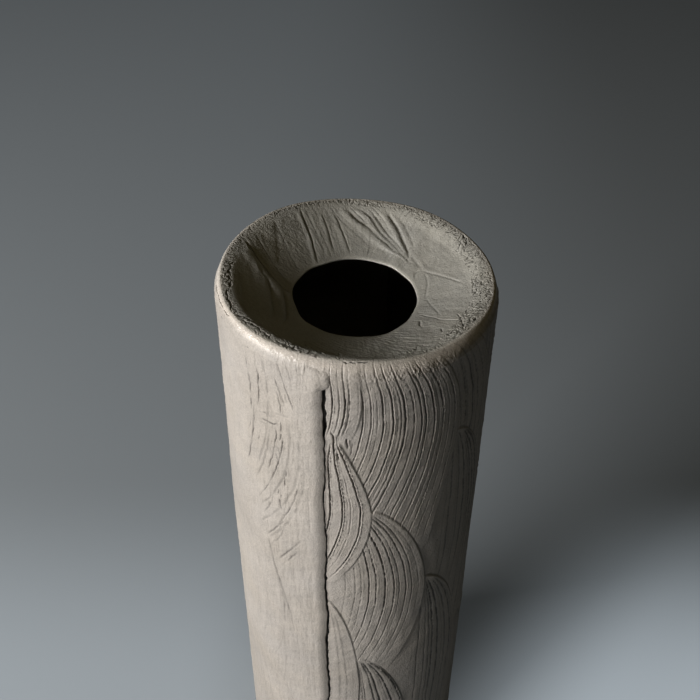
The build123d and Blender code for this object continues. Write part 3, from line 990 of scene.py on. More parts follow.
for number in range(STRIPS):
    first, last = cut_columns[number], cut_columns[number + 1]
    ring = [outer[:, first : last + 1]]
    marks = [dust_and_painted_light[:, first : last + 1]]
    normal = np.zeros_like(ring[0])
    normal[[0, -1]] = outer_normals[[0, -1], first : last + 1]
    from_bearing, to_bearing = seam_bearing + s_line[[first, last]] / body_radius
    if number > 0:
        normal[:, 0] = outer_normals[:, first]
    else:
        from_bearing = seam_bearing - LAP_LENGTH / body_radius
        ring.insert(0, under_lap)
        # Painted shade on the hidden end under the lap.
        marks.insert(0, np.ones(under_lap.shape[:2]))
    if number < STRIPS - 1:
        normal[:, -1] = outer_normals[:, last]
    else:
        to_bearing = seam_bearing + (around - LAP_LENGTH - slip_layer) / body_radius
        ring += [torn_edge, over_lap]
        # Painted shade under the lip of the torn edge and on its hidden underside.
        marks += [torn_edge_shade, np.ones(over_lap.shape[:2])]
    bore = inner_face(to_bearing, from_bearing, BORE_COLUMNS)
    ring.append(bore)
    # Painted shade on the bore.
    marks.append(np.full(bore.shape[:2], PAINTED_INSIDE_SHADE))
    lead = under_lap.shape[1] if number == 0 else 0
    grid = np.concatenate(ring, axis=1)
    normals = np.zeros_like(grid)
    normals[:, lead : lead + normal.shape[1]] = normal
    grid[-1, :, 2] = joint_height(grid[-1, :, 0])
    grid[0, :, 2] = wall_foot
    marks = np.concatenate(marks, axis=1)
    make_piece(f"wall_strip_{number + 1}", grid, "wall_slab", "wall_clay", marks, normals=normals)

# %% [markdown]
# ## The collar's section
# The collar is a dished ring, made like a turned piece from a section that is carried round. Two helpers
# make the section: one rounds a corner, and one adds points to long straight runs, so that the grid is
# even. A round corner touches both of its sides, so its centre lies on the line that halves the corner's
# angle.

# %% Rounded corners and filled lines
def round_corner(before, corner, after, radius, count):
    """Arc that touches both sides of a corner, from the side before it to the side after it."""
    before, corner, after = (np.asarray(p, float) for p in (before, corner, after))
    back, on = before - corner, after - corner
    back, on = back / np.linalg.norm(back), on / np.linalg.norm(on)
    half = np.arccos(np.clip(back @ on, -1, 1)) / 2
    centre = corner + (back + on) / np.linalg.norm(back + on) * radius / np.sin(half)
    start, end = (corner + side * radius / np.tan(half) - centre for side in (back, on))
    angles = np.unwrap([np.arctan2(start[1], start[0]), np.arctan2(end[1], end[0])])
    sweep = np.linspace(*angles, count)
    return centre + radius * np.stack([np.cos(sweep), np.sin(sweep)], -1)


def fill_in(points, gap):
    """The same line with points added on its long runs, so that no two are further apart than the gap."""
    lengths = np.linalg.norm(np.diff(points, axis=0), axis=1)
    runs = [
        np.linspace(a, b, int(np.ceil(length / gap)) + 1)[:-1]
        for a, b, length in zip(points[:-1], points[1:], lengths)
    ]
    return np.concatenate(runs + [points[-1:]])


print("a line of 10 mm filled to 3 mm:", fill_in(np.array([(0.0, 0.0), (10.0, 0.0)]), 3)[:, 0])

# %% [markdown]
# The section starts at the outer face and rolls over the rim in a quarter of an oval that is a little
# flatter than an ellipse. It bends down into the dish in a power curve and falls straight to the mouth,
# where the clay was cut to a thin edge.

# %% Section of rim and lip
EDGE_HEIGHT, DISH_DROP = 6.7, 11.9
LIP_EDGE, LIP_ROUND, UNDER_ROUND = 0.8, 0.35, 0.3
CREST_PLACE, CREST_START, CREST_ROUND = 48.4, 44.6, 4.0
ROLL_EDGE, BEND_EDGE = 1.25, 2.2
lip_top = EDGE_HEIGHT - DISH_DROP
dish_fall = DISH_DROP / (body_radius - mouth_radius)
bend_start = lip_top + (CREST_START - mouth_radius) * dish_fall
bend_width = CREST_PLACE - CREST_START
bend_depth = dish_fall * bend_width / BEND_EDGE
crest_height = bend_start + bend_depth
quarter = np.linspace(0, np.pi / 2, 30)
roll_r = CREST_PLACE + (body_radius - CREST_PLACE) * np.abs(np.cos(quarter)) ** ROLL_EDGE
roll_z = crest_height + CREST_ROUND * (np.sin(quarter) ** ROLL_EDGE - 1)
bend_r = np.linspace(CREST_PLACE, CREST_START, 24)[1:]
bend_z = crest_height - bend_depth * ((CREST_PLACE - bend_r) / bend_width) ** BEND_EDGE
rim_arc = np.concatenate([np.stack([roll_r, roll_z], -1), np.stack([bend_r, bend_z], -1)])
lip_corner, lip_under = (mouth_radius, lip_top), (mouth_radius + 0.1, lip_top - LIP_EDGE)
lip_arc = round_corner(rim_arc[-1], lip_corner, lip_under, LIP_ROUND, 7)
under_arc = round_corner(lip_corner, lip_under, (mouth_radius + 4.5, lip_top - 1.4), UNDER_ROUND, 7)
print(f"rim crest {crest_height:.2f} mm above the seat, {CREST_PLACE:.1f} mm from the axis")

# %% [markdown]
# ## The dish's folds
# The dish was pressed from the same clay and thumbed while it was soft. Long thin creases run in from the
# rim at the back, and several of them meet in a small knot beside the mouth. At the left a shallow bowl of
# soft folds hangs from the rim. Places in the dish are the bearing in degrees and the distance r from its
# axis. A crease runs inwards, so it gives a bearing at each r. A fold runs round the mouth, so it gives r
# at each bearing. Each has a depth, a width, the height of the soft ridge beside it, and listed places.

# %% Places of creases and folds
Crease = namedtuple("Crease", "depth width ridge line")
creases = [
    Crease(0.7, 0.42, 0.1, [(-116, 47.5), (-110.4, 40.6), (-105, 35.2), (-98.5, 30.2), (-90, 24)]),
    Crease(0.36, 0.36, 0.16, [(-152, 47.5), (-150.6, 38), (-148, 30.6), (-143, 24.5)]),
    Crease(0.42, 0.6, 0.36, [(-195.5, 45.5), (-204.4, 39.1), (-215.1, 33.7), (-223.7, 29.7)]),
    Crease(0.2, 0.5, 0.24, [(-188, 45), (-197, 37.8), (-209.4, 32.8), (-221.7, 29.7)]),
    Crease(0.28, 0.55, 0.36, [(-180, 45.5), (-192, 38.5), (-210, 31.2), (-228, 28.2)]),
    Crease(0.3, 0.6, 0.36, [(-175, 45.5), (-184, 38.4), (-198.4, 32.7), (-214, 28.7)]),
    Crease(0.14, 0.5, 0.1, [(-200.3, 44.2), (-213.3, 38.4), (-221, 34.4)]),
    Crease(0.18, 0.36, 0.1, [(-161.6, 44), (-162.7, 34.2), (-162.7, 28.5)]),
    Crease(0.18, 0.4, 0.1, [(-168.5, 43), (-173, 31.8), (-175.4, 26.3)]),
    Crease(0.22, 0.36, 0.12, [(90.5, 41), (98.5, 36), (107, 32.3), (118, 29)]),
    Crease(0.22, 0.4, 0.06, [(119, 28.6), (119.6, 26.6), (114.5, 24.6)]),
    Crease(0.14, 0.36, 0.0, [(61, 35.5), (68, 32), (84, 26.6)]),
    Crease(0.3, 0.24, 0.0, [(61.5, 46), (59.6, 41.2), (60.3, 34.5), (64, 27)]),
    Crease(0.2, 0.5, 0.1, [(-4, 46), (-7, 43.2), (-15, 40.2), (-26, 37.6)]),
    Crease(0.06, 1.0, 0.5, [(-115.5, 46), (-110.4, 40.6), (-105, 35.2), (-98.5, 30.2), (-90, 24)]),
    Crease(0.1, 0.9, 0.08, [(-136, 45.5), (-131, 40), (-125, 36), (-112, 31)]),
]
folds = [
    Crease(0.55, 0.7, 0.3, [(30.2, -98), (27.1, -89.5), (26.2, -75), (30.8, -54), (38, -44)]),
    Crease(0.4, 0.34, 0.04, [(30.8, 49), (29.4, 53), (28.4, 57)]),
    Crease(0.45, 0.7, 0.24, [(38.6, -104.5), (34.5, -98.7), (31.6, -89), (31.3, -77), (37, -54)]),
    Crease(0.2, 0.9, 0.12, [(42.6, -98), (42.2, -91), (42, -75), (45, -58)]),
    Crease(0.2, 0.4, 0.08, [(26.4, 84), (26.9, 97), (28.7, 110), (28.2, 118)]),
    Crease(0.2, 0.45, 0.1, [(29.3, 119), (29.8, 127), (30.8, 137)]),
]
print(len(creases), "creases and", len(folds), "folds in the dish")

# %% [markdown]
# Both kinds are smooth curves through their places, and the distance to them is taken square to the curve.
# The clay that a finger pushes aside stands up as a soft ridge on one side of the line. The line is darkened
# with painted shade, and the ridge, which catches the light, gets a painted highlight: the mask is lowered
# there.

# %% Pressing creases and folds
WAVER = 0.12


def turned(a, middle):
    """Bearing a counted from a middle bearing, between -180 and 180 degrees."""
    return (a - middle + 180) % 360 - 180


def crease_line(crease, r):
    """Bearing of a crease at a distance r, held still beyond its two ends."""
    return through(np.clip(r, crease.line[-1][1], crease.line[0][1]), *crease.line)


def press_line(relief, mask, away, strength, crease):
    """Lowers the relief along a line, with a soft ridge on the side where the distance away is positive."""
    beside = crease.ridge * ridge(away - 2.8 * crease.width, 2.2 * crease.width)
    relief += strength * (beside - crease.depth * ridge(away, crease.width))
    # Painted shade darkens the line, and a painted highlight lightens the ridge beside it.
    crease_shade = strength * np.clip(0.6 * crease.depth / crease.width, 0, 0.95) * ridge(away, 0.9 * crease.width)
    mask[...] = np.maximum(mask, crease_shade) - 0.7 * strength * beside * (1 - crease_shade)


def press_creases(relief, mask, a, r):
    """Presses every crease and fold into the dish, each fading out over its two ends."""
    degree = r * np.pi / 180
    for number, crease in enumerate(creases):
        slope = (crease_line(crease, r + 0.3) - crease_line(crease, r - 0.3)) / 0.6 * degree
        away = turned(a, crease_line(crease, r)) * degree / np.sqrt(1 + slope**2)
        away = away + WAVER * swell((r, 0.1 * a), 9, 300 + number)
        high, low = crease.line[0][1], crease.line[-1][1]
        fade = min(4, 0.4 * (high - low))
        press_line(relief, mask, away, between(r, low - fade / 2, high, fade), crease)
    for number, fold in enumerate(folds):
        first, last = fold.line[0][1], fold.line[-1][1]
        b = turned(a, (first + last) / 2) + (first + last) / 2
        slope = (through(b + 0.5, *fold.line) - through(b - 0.5, *fold.line)) / degree
        away = (r - through(b, *fold.line)) / np.sqrt(1 + slope**2)
        away = away + WAVER * swell((r, 0.4 * a), 9, 320 + number)
        press_line(relief, mask, away, between(b, first, last, 0.3 * (last - first)), fold)


trial_a, trial_r = np.meshgrid(np.arange(-180.0, 180, 2), np.arange(26.0, 46, 0.5))
trial_relief = np.zeros(trial_a.shape)
press_creases(trial_relief, np.zeros(trial_a.shape), trial_a, trial_r)
print("relief of creases and folds:", span(trial_relief))

# %% [markdown]
# Between the creases the dish is nearly smooth. Faint streaks fan out where the clay was drawn over the
# back of the rim, low arcs lie in the bowl at the left, and a fine grain was dragged across the front. The
# grain slants on both sides, and more steeply at the right. Streaks fill the room between two creases, so
# each fan is the numbers of its creases, a count of streaks and their depth.

# %% Relief of the dish
fans_between = [(0, 1, 8, 0.13), (1, 5, 7, 0.08), (5, 4, 4, 0.1), (4, 2, 4, 0.1)]
DISH_MIDDLE, MM_PER_DEGREE = 38, 0.65
BOWL_BEARING, ARC_STEP = -78, 3.6
KNOT_BEARING, KNOT_PLACE, KNOT_HEIGHT = 120.5, 30.4, 0.25


def dragged_grain(a, r):
    """Grain of the front: swells that are short across and long along the way the clay was dragged."""
    x = a * MM_PER_DEGREE
    slant, along = r - 0.46 * x, x + 0.46 * r
    at_left = 0.06 * swell((slant, 0.1 * along), 1.8, 84) + 0.04 * swell((slant, 0.15 * along), 0.8, 88)
    steep, down = 0.55 * r - 0.83 * x, 0.55 * x + 0.83 * r
    at_right = 0.03 * swell((steep, 0.12 * down), 1.6, 89) + 0.02 * swell((steep, 0.15 * down), 0.8, 90)
    return ridge(turned(a, -24), 24) * at_left + ridge(turned(a, 26), 26) * at_right


def dish_relief(a, r):
    """Height above the plain dish and its mask of painted shade and painted highlight, at bearing a in
    degrees and distance r in millimetres.
    """
    places = *ring_place(DISH_MIDDLE, np.radians(a)), r
    relief, mask = np.zeros(a.shape), np.zeros(a.shape)
    for number, (first, last, count, depth) in enumerate(fans_between):
        start = crease_line(creases[first], r)
        width = turned(crease_line(creases[last], r), start)
        share = turned(a, start) / width
        comb = uneven_teeth(count, 40 + number)
        streaks, marks = teeth(share, np.abs(width) * r * np.pi / 180, places, comb, 0.7, 340 + 10 * number)
        inside = between(share, 0, 1, 0.12)
        relief += inside * depth * streaks
        # Painted shade along the streaks.
        mask[...] = np.maximum(mask, 0.25 * inside * marks)
    side = np.abs(turned(a, BOWL_BEARING))
    in_bowl = between(r, 29, 44, 5) * smooth_step((36 - side) / 14)
    arcs = 46.5 - r + 0.0065 * side**2 + 0.5 * swell(places, 14, 83)
    relief += 0.07 * in_bowl * np.sin(arcs * 2 * np.pi / ARC_STEP)
    relief += dragged_grain(a, r)
    press_creases(relief, mask, a, r)
    relief += KNOT_HEIGHT * ridge(turned(a, KNOT_BEARING) * 0.52, 1.0) * ridge(r - KNOT_PLACE, 0.8)
    drawn = places[0], places[1], 0.1 * r
    relief += 0.06 * swell(places, 10, 85) + 0.02 * swell(places, 3, 86) + 0.012 * swell(drawn, 1.6, 87)
    return relief, mask


trial_relief = dish_relief(trial_a, trial_r)[0]
print("relief of the whole dish:", span(trial_relief))

# %% [markdown]
# ## Cracks round the rim
# Where the clay was rolled over, its skin dried and broke. In patches on the inside of the rim it lies in
# small crumbs, each tilted its own way, with short dark cracks between them. The skin is thought of as two
# sets of irregular plates, large and small. Each plate belongs to a random point, and the joints lie
# halfway between neighbouring points.

# %% Plates of dry skin
POINT_ROWS = 64


def plates(x, y, cell, count, seed):
    """Distance to the nearest joint between plates, tilt of the plate, and the joint's random number.

    The joint lies halfway between the two nearest points, so its distance is the difference of their
    squared distances over twice their distance apart.
    """
    rng = np.random.default_rng(seed)
    offsets = rng.uniform(0.08, 0.92, (3, POINT_ROWS, count))
    x, y = x * count / around, y / cell
    nearest, second = np.full((4, *x.shape), 9.0), np.full((4, *x.shape), 9.0)
    for i, j in np.ndindex(3, 3):
        column, row = np.floor(x).astype(int) + i - 1, np.floor(y).astype(int) + j - 1
        offset_x, offset_y, own = offsets[:, row % POINT_ROWS, column % count]
        gap_x, gap_y = column + offset_x - x, row + offset_y - y
        found = np.stack([np.hypot(gap_x, gap_y), gap_x, gap_y, own])
        first = found[0] < nearest[0]
        second = np.where(first, nearest, np.where(found[0] < second[0], found, second))
        nearest = np.where(first, found, nearest)
    apart = np.hypot(nearest[1] - second[1], nearest[2] - second[2])
    joint = (second[0] ** 2 - nearest[0] ** 2) / (2 * np.maximum(apart, 0.05)) * cell
    way = 40 * nearest[3]
    tilt = (nearest[1] * np.cos(way) + nearest[2] * np.sin(way)) * cell
    return joint, tilt, (nearest[3] + second[3]) * 7.3 % 1


trial_x, trial_y = np.meshgrid(np.arange(0.0, 20, 0.2), np.arange(40.0, 50, 0.2))
print(f"plates are up to {2 * plates(trial_x, trial_y, 1.7, 176, 1)[0].max():.1f} mm wide")

# %% [markdown]
# In a patch some of the joints between plates are open. A joint is open or shut over its whole length, so
# the cracks end at corners, as real ones do. A patch has a bearing, a spread in degrees, the distances from
# the axis between which it lies, and its share of open joints. The longest cracks are single lines at
# given places.

# %% Places of the cracks
Patch = namedtuple("Patch", "bearing spread inner outer share")
patches = [
    Patch(92, 22, 42.2, 48.6, 0.85),
    Patch(58, 17, 41.6, 48.4, 0.65),
    Patch(125, 28, 44.0, 48.6, 0.62),
    Patch(160, 28, 45.2, 48.8, 0.55),
    Patch(-165, 28, 46.0, 48.8, 0.55),
    Patch(-128, 28, 46.2, 48.8, 0.35),
    Patch(-82, 38, 45.0, 49.0, 0.6),
    Patch(-30, 24, 43.4, 49.0, 0.6),
    Patch(20, 28, 41.0, 48.6, 0.38),
]
long_cracks = [
    [(47, 44.2), (49.5, 43.8), (52, 44.6), (55, 45.6), (57, 45.1), (60, 46.8), (63, 47)],
    [(56.4, 45.1), (60, 42.9), (65, 40.4)],
    [(-56, 47.2), (-52.5, 46.7), (-47.7, 45.9), (-42.2, 46.4), (-38, 47.3)],
    [(-58.6, 47), (-56.5, 46.1), (-51.2, 45)],
    [(-35, 47.2), (-31.6, 46.9), (-27.4, 46.9), (-23, 47.4)],
    [(-36, 43), (-32.3, 44.4), (-28.8, 46.6), (-25.2, 46.1)],
    [(-98, 45.6), (-92, 46.2), (-86, 45.5), (-80, 46.1)],
    [(-78, 46.9), (-69.3, 47.3), (-62, 47)],
    [(-25.5, 40.5), (-20.6, 43.5), (-15, 46.2)],
    [(-22, 41), (-17, 44), (-14, 46.5)],
    [(-8.2, 41.4), (-5.5, 43.2), (-3.5, 45.4)],
    [(20.3, 41.6), (23.3, 43.5), (29.6, 42.2)],
    [(46.8, 44.6), (48.2, 41), (51, 38.6)],
    [(-5, 48.9), (-1, 49.1), (5, 48.7)],
    [(-84, 51.4), (-74, 51.0), (-62, 50.7)],
    [(117, 46), (119, 47.2), (122, 47.4), (124, 48)],
]
print(len(patches), "patches of cracked skin and", len(long_cracks), "long cracks")

# %% [markdown]
# The bearing and the distance r from the axis give a place on the rim, inside and outside its crest. A crack
# is a narrow groove that wavers a little, darkened with painted shade. Outside the crest, at the front, the
# ends of the comb strokes were dragged over the edge in short slanting hairs, with a little painted shade.

# %% Cracked skin of the rim
PLATE_SETS = ((1.7, 176, 1.0), (0.95, 310, 0.8))
JOINT_WIDTH, JOINT_DEPTH, TILT_SHARE = 0.13, 0.2, 0.1
CRACK_WIDTH, CRACK_DEPTH = 0.18, 0.45


def one_crack(a, r, line, wander):
    """Depth from 0 to 1 of a crack along (bearing, distance) places: a bell curve square to its line."""
    line_a, line_r = np.array(line, float).T
    middle = (line_a[0] + line_a[-1]) / 2
    b = turned(a, middle) + middle
    rise = np.interp(b + 0.4, line_a, line_r) - np.interp(b - 0.4, line_a, line_r)
    slope = rise / (0.8 * r * np.pi / 180)
    away = (r + wander - np.interp(b, line_a, line_r)) / np.sqrt(1 + slope**2)
    steep = 1 + 0.5 * smooth_step((r - 49) / 2)
    return between(b, line_a[0] - 0.6, line_a[-1] + 0.6, 1.2) * ridge(away * steep, CRACK_WIDTH)


def rim_cracks(angle, r, along, seed):
    """Relief and mask of painted shade in the cracks at a bearing, a distance r from the axis and a distance
    along from the crest.
    """
    a = np.degrees(angle)
    places = *ring_place(body_radius, angle), r
    where = np.zeros(a.shape)
    for patch in patches:
        spot = ridge(turned(a, patch.bearing), patch.spread) * between(r, patch.inner, patch.outer, 1.3)
        where = np.maximum(where, patch.share * spot)
    where = where * np.clip(0.9 + 0.3 * swell(places, 14, seed), 0, 1.2)
    x = body_radius * angle + 0.5 * swell(places, 4, seed + 1)
    y = r + 0.5 * swell(places, 4, seed + 2)
    relief, mask = np.zeros(a.shape), np.zeros(a.shape)
    for number, (cell, count, weight) in enumerate(PLATE_SETS):
        joint, tilt, luck = plates(x, y, cell, count, seed + 3 + number)
        opened = weight * smooth_step((1.2 * where - luck) / 0.2)
        relief += TILT_SHARE * smooth_step((where - 0.1) / 0.5) * tilt
        relief -= JOINT_DEPTH * opened * ridge(joint, JOINT_WIDTH)
        # Painted shade in the open joints.
        mask = np.maximum(mask, 0.9 * opened * ridge(joint, JOINT_WIDTH))
    wander = 0.16 * swell(places, 2.4, seed + 6) + 0.09 * swell(places, 1.0, seed + 10)
    for line in long_cracks:
        crack = one_crack(a, r, line, wander) * np.clip(0.95 + 0.5 * swell(places, 3, seed + 8), 0, 1)
        relief -= CRACK_DEPTH * crack
        # Painted shade in the long cracks.
        mask = np.maximum(mask, 1.3 * crack)
    hairs = swell((x + 0.5 * along, 0.25 * along), 1.5, seed + 7)
    hairs = hairs + swell((x - 0.7 * along, 0.25 * along), 1.7, seed + 9)
    hairs = hairs * between(along, -8.5, -2.5, 2) * ridge(turned(a, 22), 18)
    # The dragged hairs get a little painted shade.
    return relief + 0.07 * hairs, np.maximum(mask, 0.3 * np.clip(-hairs - 0.3, 0, 1))


trial_relief = rim_cracks(np.radians(trial_a), trial_r, 0 * trial_r, 1)[0]
print("relief of the cracked skin:", span(trial_relief))

# %% [markdown]
# ## The collar's skin
# The whole skin is one line carried round the pot. The line starts at the wall's upper edge, goes over the
# rim and down the dish, and ends under the lip. Its points are closer together on the rim, where the cracks
# need a fine grid. The collar is worked out upright, and one function then leans it over onto its seat.

# %% Line of the collar's skin
CRACKED, RIM_GAP, DISH_GAP = 40.0, 0.19, 0.33
crack_end = np.array([(CRACKED, lip_top + (CRACKED - mouth_radius) * dish_fall)])
joint_line = np.array([(body_radius, -slip_layer), (body_radius, 0.0)])
rim_part = fill_in(np.concatenate([joint_line, rim_arc, crack_end]), RIM_GAP)
dish_part = fill_in(np.concatenate([crack_end, lip_arc, under_arc]), DISH_GAP)
skin_line = np.concatenate([rim_part, dish_part[1:]])
along_skin = np.append(0, np.cumsum(np.linalg.norm(np.diff(skin_line, axis=0), axis=1)))
from_crest = (along_skin - along_skin[np.argmax(skin_line[:, 1])])[:, None]


def lean_over(points):
    """Leans the collar's upright points onto its seat: z falls by the lean times x, x grows by it times z."""
    x, y, z = points[..., 0], points[..., 1], points[..., 2]
    return np.stack([x + rim_lean * z, y, seat_height - rim_lean * x + z], -1)


def section_normals(line):
    """Unit vectors square to a section line, pointing out of the clay."""
    along = np.gradient(line, axis=0)
    square = np.stack([along[:, 1], -along[:, 0]], -1)
    return square / np.linalg.norm(square, axis=1, keepdims=True)


print(f"skin of the collar: {along_skin[-1]:.0f} mm from joint to lip in {len(skin_line)} rows")

# %% [markdown]
# The furrows of the wall carry on up the collar's outer face, because the joint was wiped over while the
# clay was wet, and they fade where the clay turns inwards. The wall's own function gives them: what it adds
# to the plain tube is added to the collar's section.

# %% Outside of the collar
COLLAR_COLUMNS = 2000
collar_bearings = np.linspace(-np.pi, np.pi, COLLAR_COLUMNS, endpoint=False)
bearing = collar_bearings + 0 * from_crest
r_line, z_line = skin_line[:, :1], skin_line[:, 1:]
height = lean_over(on_pot(r_line, bearing, z_line))[..., 2]

on_outside = smooth_step((0.2 - from_crest) / 5.2)
s_skin = body_radius * ((bearing - seam_bearing) % (2 * np.pi))
outside = np.flatnonzero(on_outside > 0)
wall_part, wall_marks = wall_face(s_skin[outside], s_skin[outside], height[outside])
plain_part = body_radius + hand_swell(bearing[outside], height[outside])
skin_relief, skin_painted_light = np.zeros(bearing.shape), np.zeros(bearing.shape)
skin_relief[outside] = on_outside[outside] * (wall_part - plain_part)
skin_painted_light[outside] = on_outside[outside] * wall_marks
print(len(outside), "rows of the collar carry the wall's furrows")

# %% [markdown]
# The creases of the dish and the cracks of the rim come next, each in its own part of the skin. Their marks
# are painted shade, and where two meet, the darker one is seen. The painted highlight of a crease's ridge is
# taken off whatever is there.

# %% Dish and cracks on the skin
degrees_round = np.degrees(bearing)
in_dish = smooth_step((from_crest - 1.0) / 4) * smooth_step((r_line - mouth_radius - 0.2) / 2.5)
in_dish = in_dish * (z_line > lip_top - 0.5)
dish_height, dish_shade_and_highlight = dish_relief(degrees_round, r_line + 0 * bearing)
flakes, cracks = rim_cracks(bearing, r_line + 0 * bearing, from_crest + 0 * bearing, 91)
skin_relief = skin_relief + in_dish * dish_height + flakes
skin_painted_light = np.maximum(skin_painted_light, cracks)
dish_shade_and_highlight = in_dish * dish_shade_and_highlight
skin_painted_light = np.where(dish_shade_and_highlight > skin_painted_light, dish_shade_and_highlight, skin_painted_light + np.minimum(dish_shade_and_highlight, 0))
print("relief of the collar's skin:", span(skin_relief))

# %% [markdown]
# The crest of the rim is made paler by a mask below zero: partly wear, where a potter's hand rubbed the
# places that stand out, and partly a painted highlight, strongest at the front left. At the back right,
# whose inner slopes face the window lamp, the edge of the dish and of the mouth get a painted highlight the
# same way, and the back of the dish gets a little painted shade. At the front left a finger also left a low
# swelling inside the crest, and at the front right a shallow groove under the roll.

# %% Rubbed places, painted highlights and painted shade
LIT_SIDE_BEARING = 125
front_left = ridge(turned(degrees_round, -40), 42)
on_crest = smooth_step((1.2 - from_crest) / 1.4)
# Partly wear and partly painted highlight on the crest, strongest at the front left.
rubbed_and_highlight = (0.6 + 0.25 * front_left) * on_crest * smooth_step((from_crest + 4.6) / 2.6)
# Painted highlight on the dish's edge at the back right.
rubbed_and_highlight = np.maximum(rubbed_and_highlight, 0.6 * between(r_line, 40, 49, 3) * ridge(turned(degrees_round, LIT_SIDE_BEARING), 48))
# Painted highlight on the edge of the mouth at the back right.
lip_edge = smooth_step((mouth_radius + 1.1 - r_line) / 0.7)
rubbed_and_highlight = np.maximum(rubbed_and_highlight, 0.95 * lip_edge * ridge(turned(degrees_round, LIT_SIDE_BEARING), 60))
skin_relief = skin_relief + 0.5 * front_left * ridge(from_crest - 3.4, 1.9)
under_roll = between(turned(degrees_round, 28), -40, 40, 12) * ridge(from_crest + 5.7, 0.45)
skin_relief = skin_relief - 0.14 * under_roll
# The painted highlights lower the mask below zero.
skin_painted_light = skin_painted_light - rubbed_and_highlight * np.maximum(1 - skin_painted_light, 0)
# Painted shade at the back of the dish.
skin_painted_light = skin_painted_light + 0.05 * in_dish * ridge(turned(degrees_round, 178), 45)
print(f"furrow mask of the skin: {skin_painted_light.min():.2f} to {skin_painted_light.max():.2f}")

# %% [markdown]
# No rim that was rolled by hand is a true ring. A slow swell makes it higher and lower, the wall's own
# unevenness carries on into it, and the crest lies further out behind than in front. Last the relief is
# added square to the section, and the whole skin leans over onto its seat.

# %% Unevenness of the rim
CREST_SPREAD = 2.8
ring_places = ring_place(body_radius, bearing)
taller = 0.25 * swell(ring_places, 60, 92) * smooth_step((z_line + 6) / 9)
taller = taller * smooth_step((z_line + r_line - 28) / 20)
taller = taller * smooth_step((from_crest - from_crest[0]) / 6)
wider = hand_swell(bearing, height) * smooth_step((r_line - 40) / 8)
wider = wider + (0.25 + 0.25 * swell(ring_places, 30, 93)) * smooth_step((30 - r_line) / 7)
behind = 1 - ridge(turned(degrees_round, -8), 48)
in_front = ridge(turned(degrees_round, 4), 28)
front_right = ridge(turned(degrees_round, 44), 24)
wider = wider + (1.8 * behind - 1.1 * in_front - 1.2 * front_right) * ridge(from_crest, CREST_SPREAD)
taller = taller + (0.4 * behind + 0.5 * in_front) * ridge(from_crest, CREST_SPREAD)
skin_section = skin_line[:, None, :] + section_normals(skin_line)[:, None, :] * skin_relief[..., None]
skin = lean_over(on_pot(skin_section[..., 0] + wider, bearing, skin_section[..., 1] + taller))
print("height of the rim above the table:", span(skin[..., 2].max(0)))

# %% [markdown]
# The fine grid makes the collar heavy, so it is cut like a cake into five sectors that stay light one by
# one. A sector is a slice of the skin, closed behind by the plain underside. The points along a cut get the
# normal of the whole skin, as on the wall.

# %% Sectors of the collar
SECTORS, LIP_THICKNESS = 5, 3.0
under_fall = (lip_top - LIP_THICKNESS) / (bore_radius - mouth_radius)
collar_back = [(r, (bore_radius - r) * under_fall) for r in (27.5, 30, 33, 37, 41)]
collar_back += [(bore_radius, 0), (body_radius - 0.8, 0), (body_radius - 0.75, -slip_layer)]
collar_back = np.array(collar_back)
hidden_back = lean_over(on_pot(collar_back[:, :1], collar_bearings, collar_back[:, 1:]))
wrapped = np.concatenate([skin[:, -1:], skin, skin[:, :1]], axis=1)
skin_normals = grid_normals(wrapped)[:, 1:-1]
whole_normals = np.concatenate([skin_normals, np.zeros_like(hidden_back)])
whole_collar = np.concatenate([skin, hidden_back])
# The underside is painted dark as shade, as the inside of the pot is.
whole_marks = np.concatenate([skin_painted_light, np.full(hidden_back.shape[:2], PAINTED_INSIDE_SHADE)])
skin_wiped = smooth_step((2.0 - from_crest) / 4) + 0 * bearing
whole_wiped = np.concatenate([skin_wiped, np.zeros(hidden_back.shape[:2])])
for number in range(SECTORS):
    count = len(collar_bearings) // SECTORS
    columns = (np.arange(count + 1) + number * count) % len(collar_bearings)
    normals = np.zeros((len(columns), *whole_collar.shape[::2]))
    normals[[0, -1]] = whole_normals[:, columns[[0, -1]]].swapaxes(0, 1)
    normals[:, 0] = whole_normals[0, columns]
    make_piece(
        f"collar_sector_{number + 1}",
        whole_collar[:, columns].swapaxes(0, 1),
        "mouth_collar",
        "collar_clay",
        whole_marks[:, columns].T,
        normals=normals,
        wiped=whole_wiped[:, columns].T,
    )

# %% [markdown]
# ## Slip in the joints
# Slip is clay thinned to a cream, and it glues the pieces. Two thin rings lie under and over the wall, and
# a bent layer lies in the lap. The collar's clay was wiped down over the upper ring, so that one lies just
# behind the skin, and the layer in the lap shows only as a line in the trench, painted dark as shade.

# %% Rings of slip
def slip_ring(name, node, low, high, inset):
    """A flat ring between two heights that are given at each x, set in a little behind the wall's face."""
    angle = collar_bearings[::2]
    x = body_radius * np.sin(angle)
    levels = np.stack([low(x), (low(x) + high(x)) / 2, high(x)])
    s = body_radius * ((angle - seam_bearing) % (2 * np.pi)) + 0 * levels
    # The face takes the wall's mask of dust and painted shade.
    radius, marks = wall_face(s, s, levels)
    face = on_pot(radius - inset, angle, levels)
    back = on_pot(bore_radius + 0 * levels, angle, levels[::-1])
    normals = np.concatenate([grid_normals(face), np.zeros_like(back)])
    marks = np.concatenate([marks, 0 * marks])
    make_piece(name, np.concatenate([face, back]), node, "slip", marks, closed=True, normals=normals)


slip_ring("collar_slip_ring", "collar_slip", joint_height, lambda x: joint_height(x) + slip_layer, 0.95)
slip_ring("floor_slip_ring", "floor_slip", lambda x: floor_top + 0 * x, lambda x: wall_foot + 0 * x, 0.1)

# %% [markdown]
# The layer in the lap fills the gap between the two bevels. It is a bent sheet: its lower face follows the
# end that runs under the lap, and its upper face follows the underside of the other end.

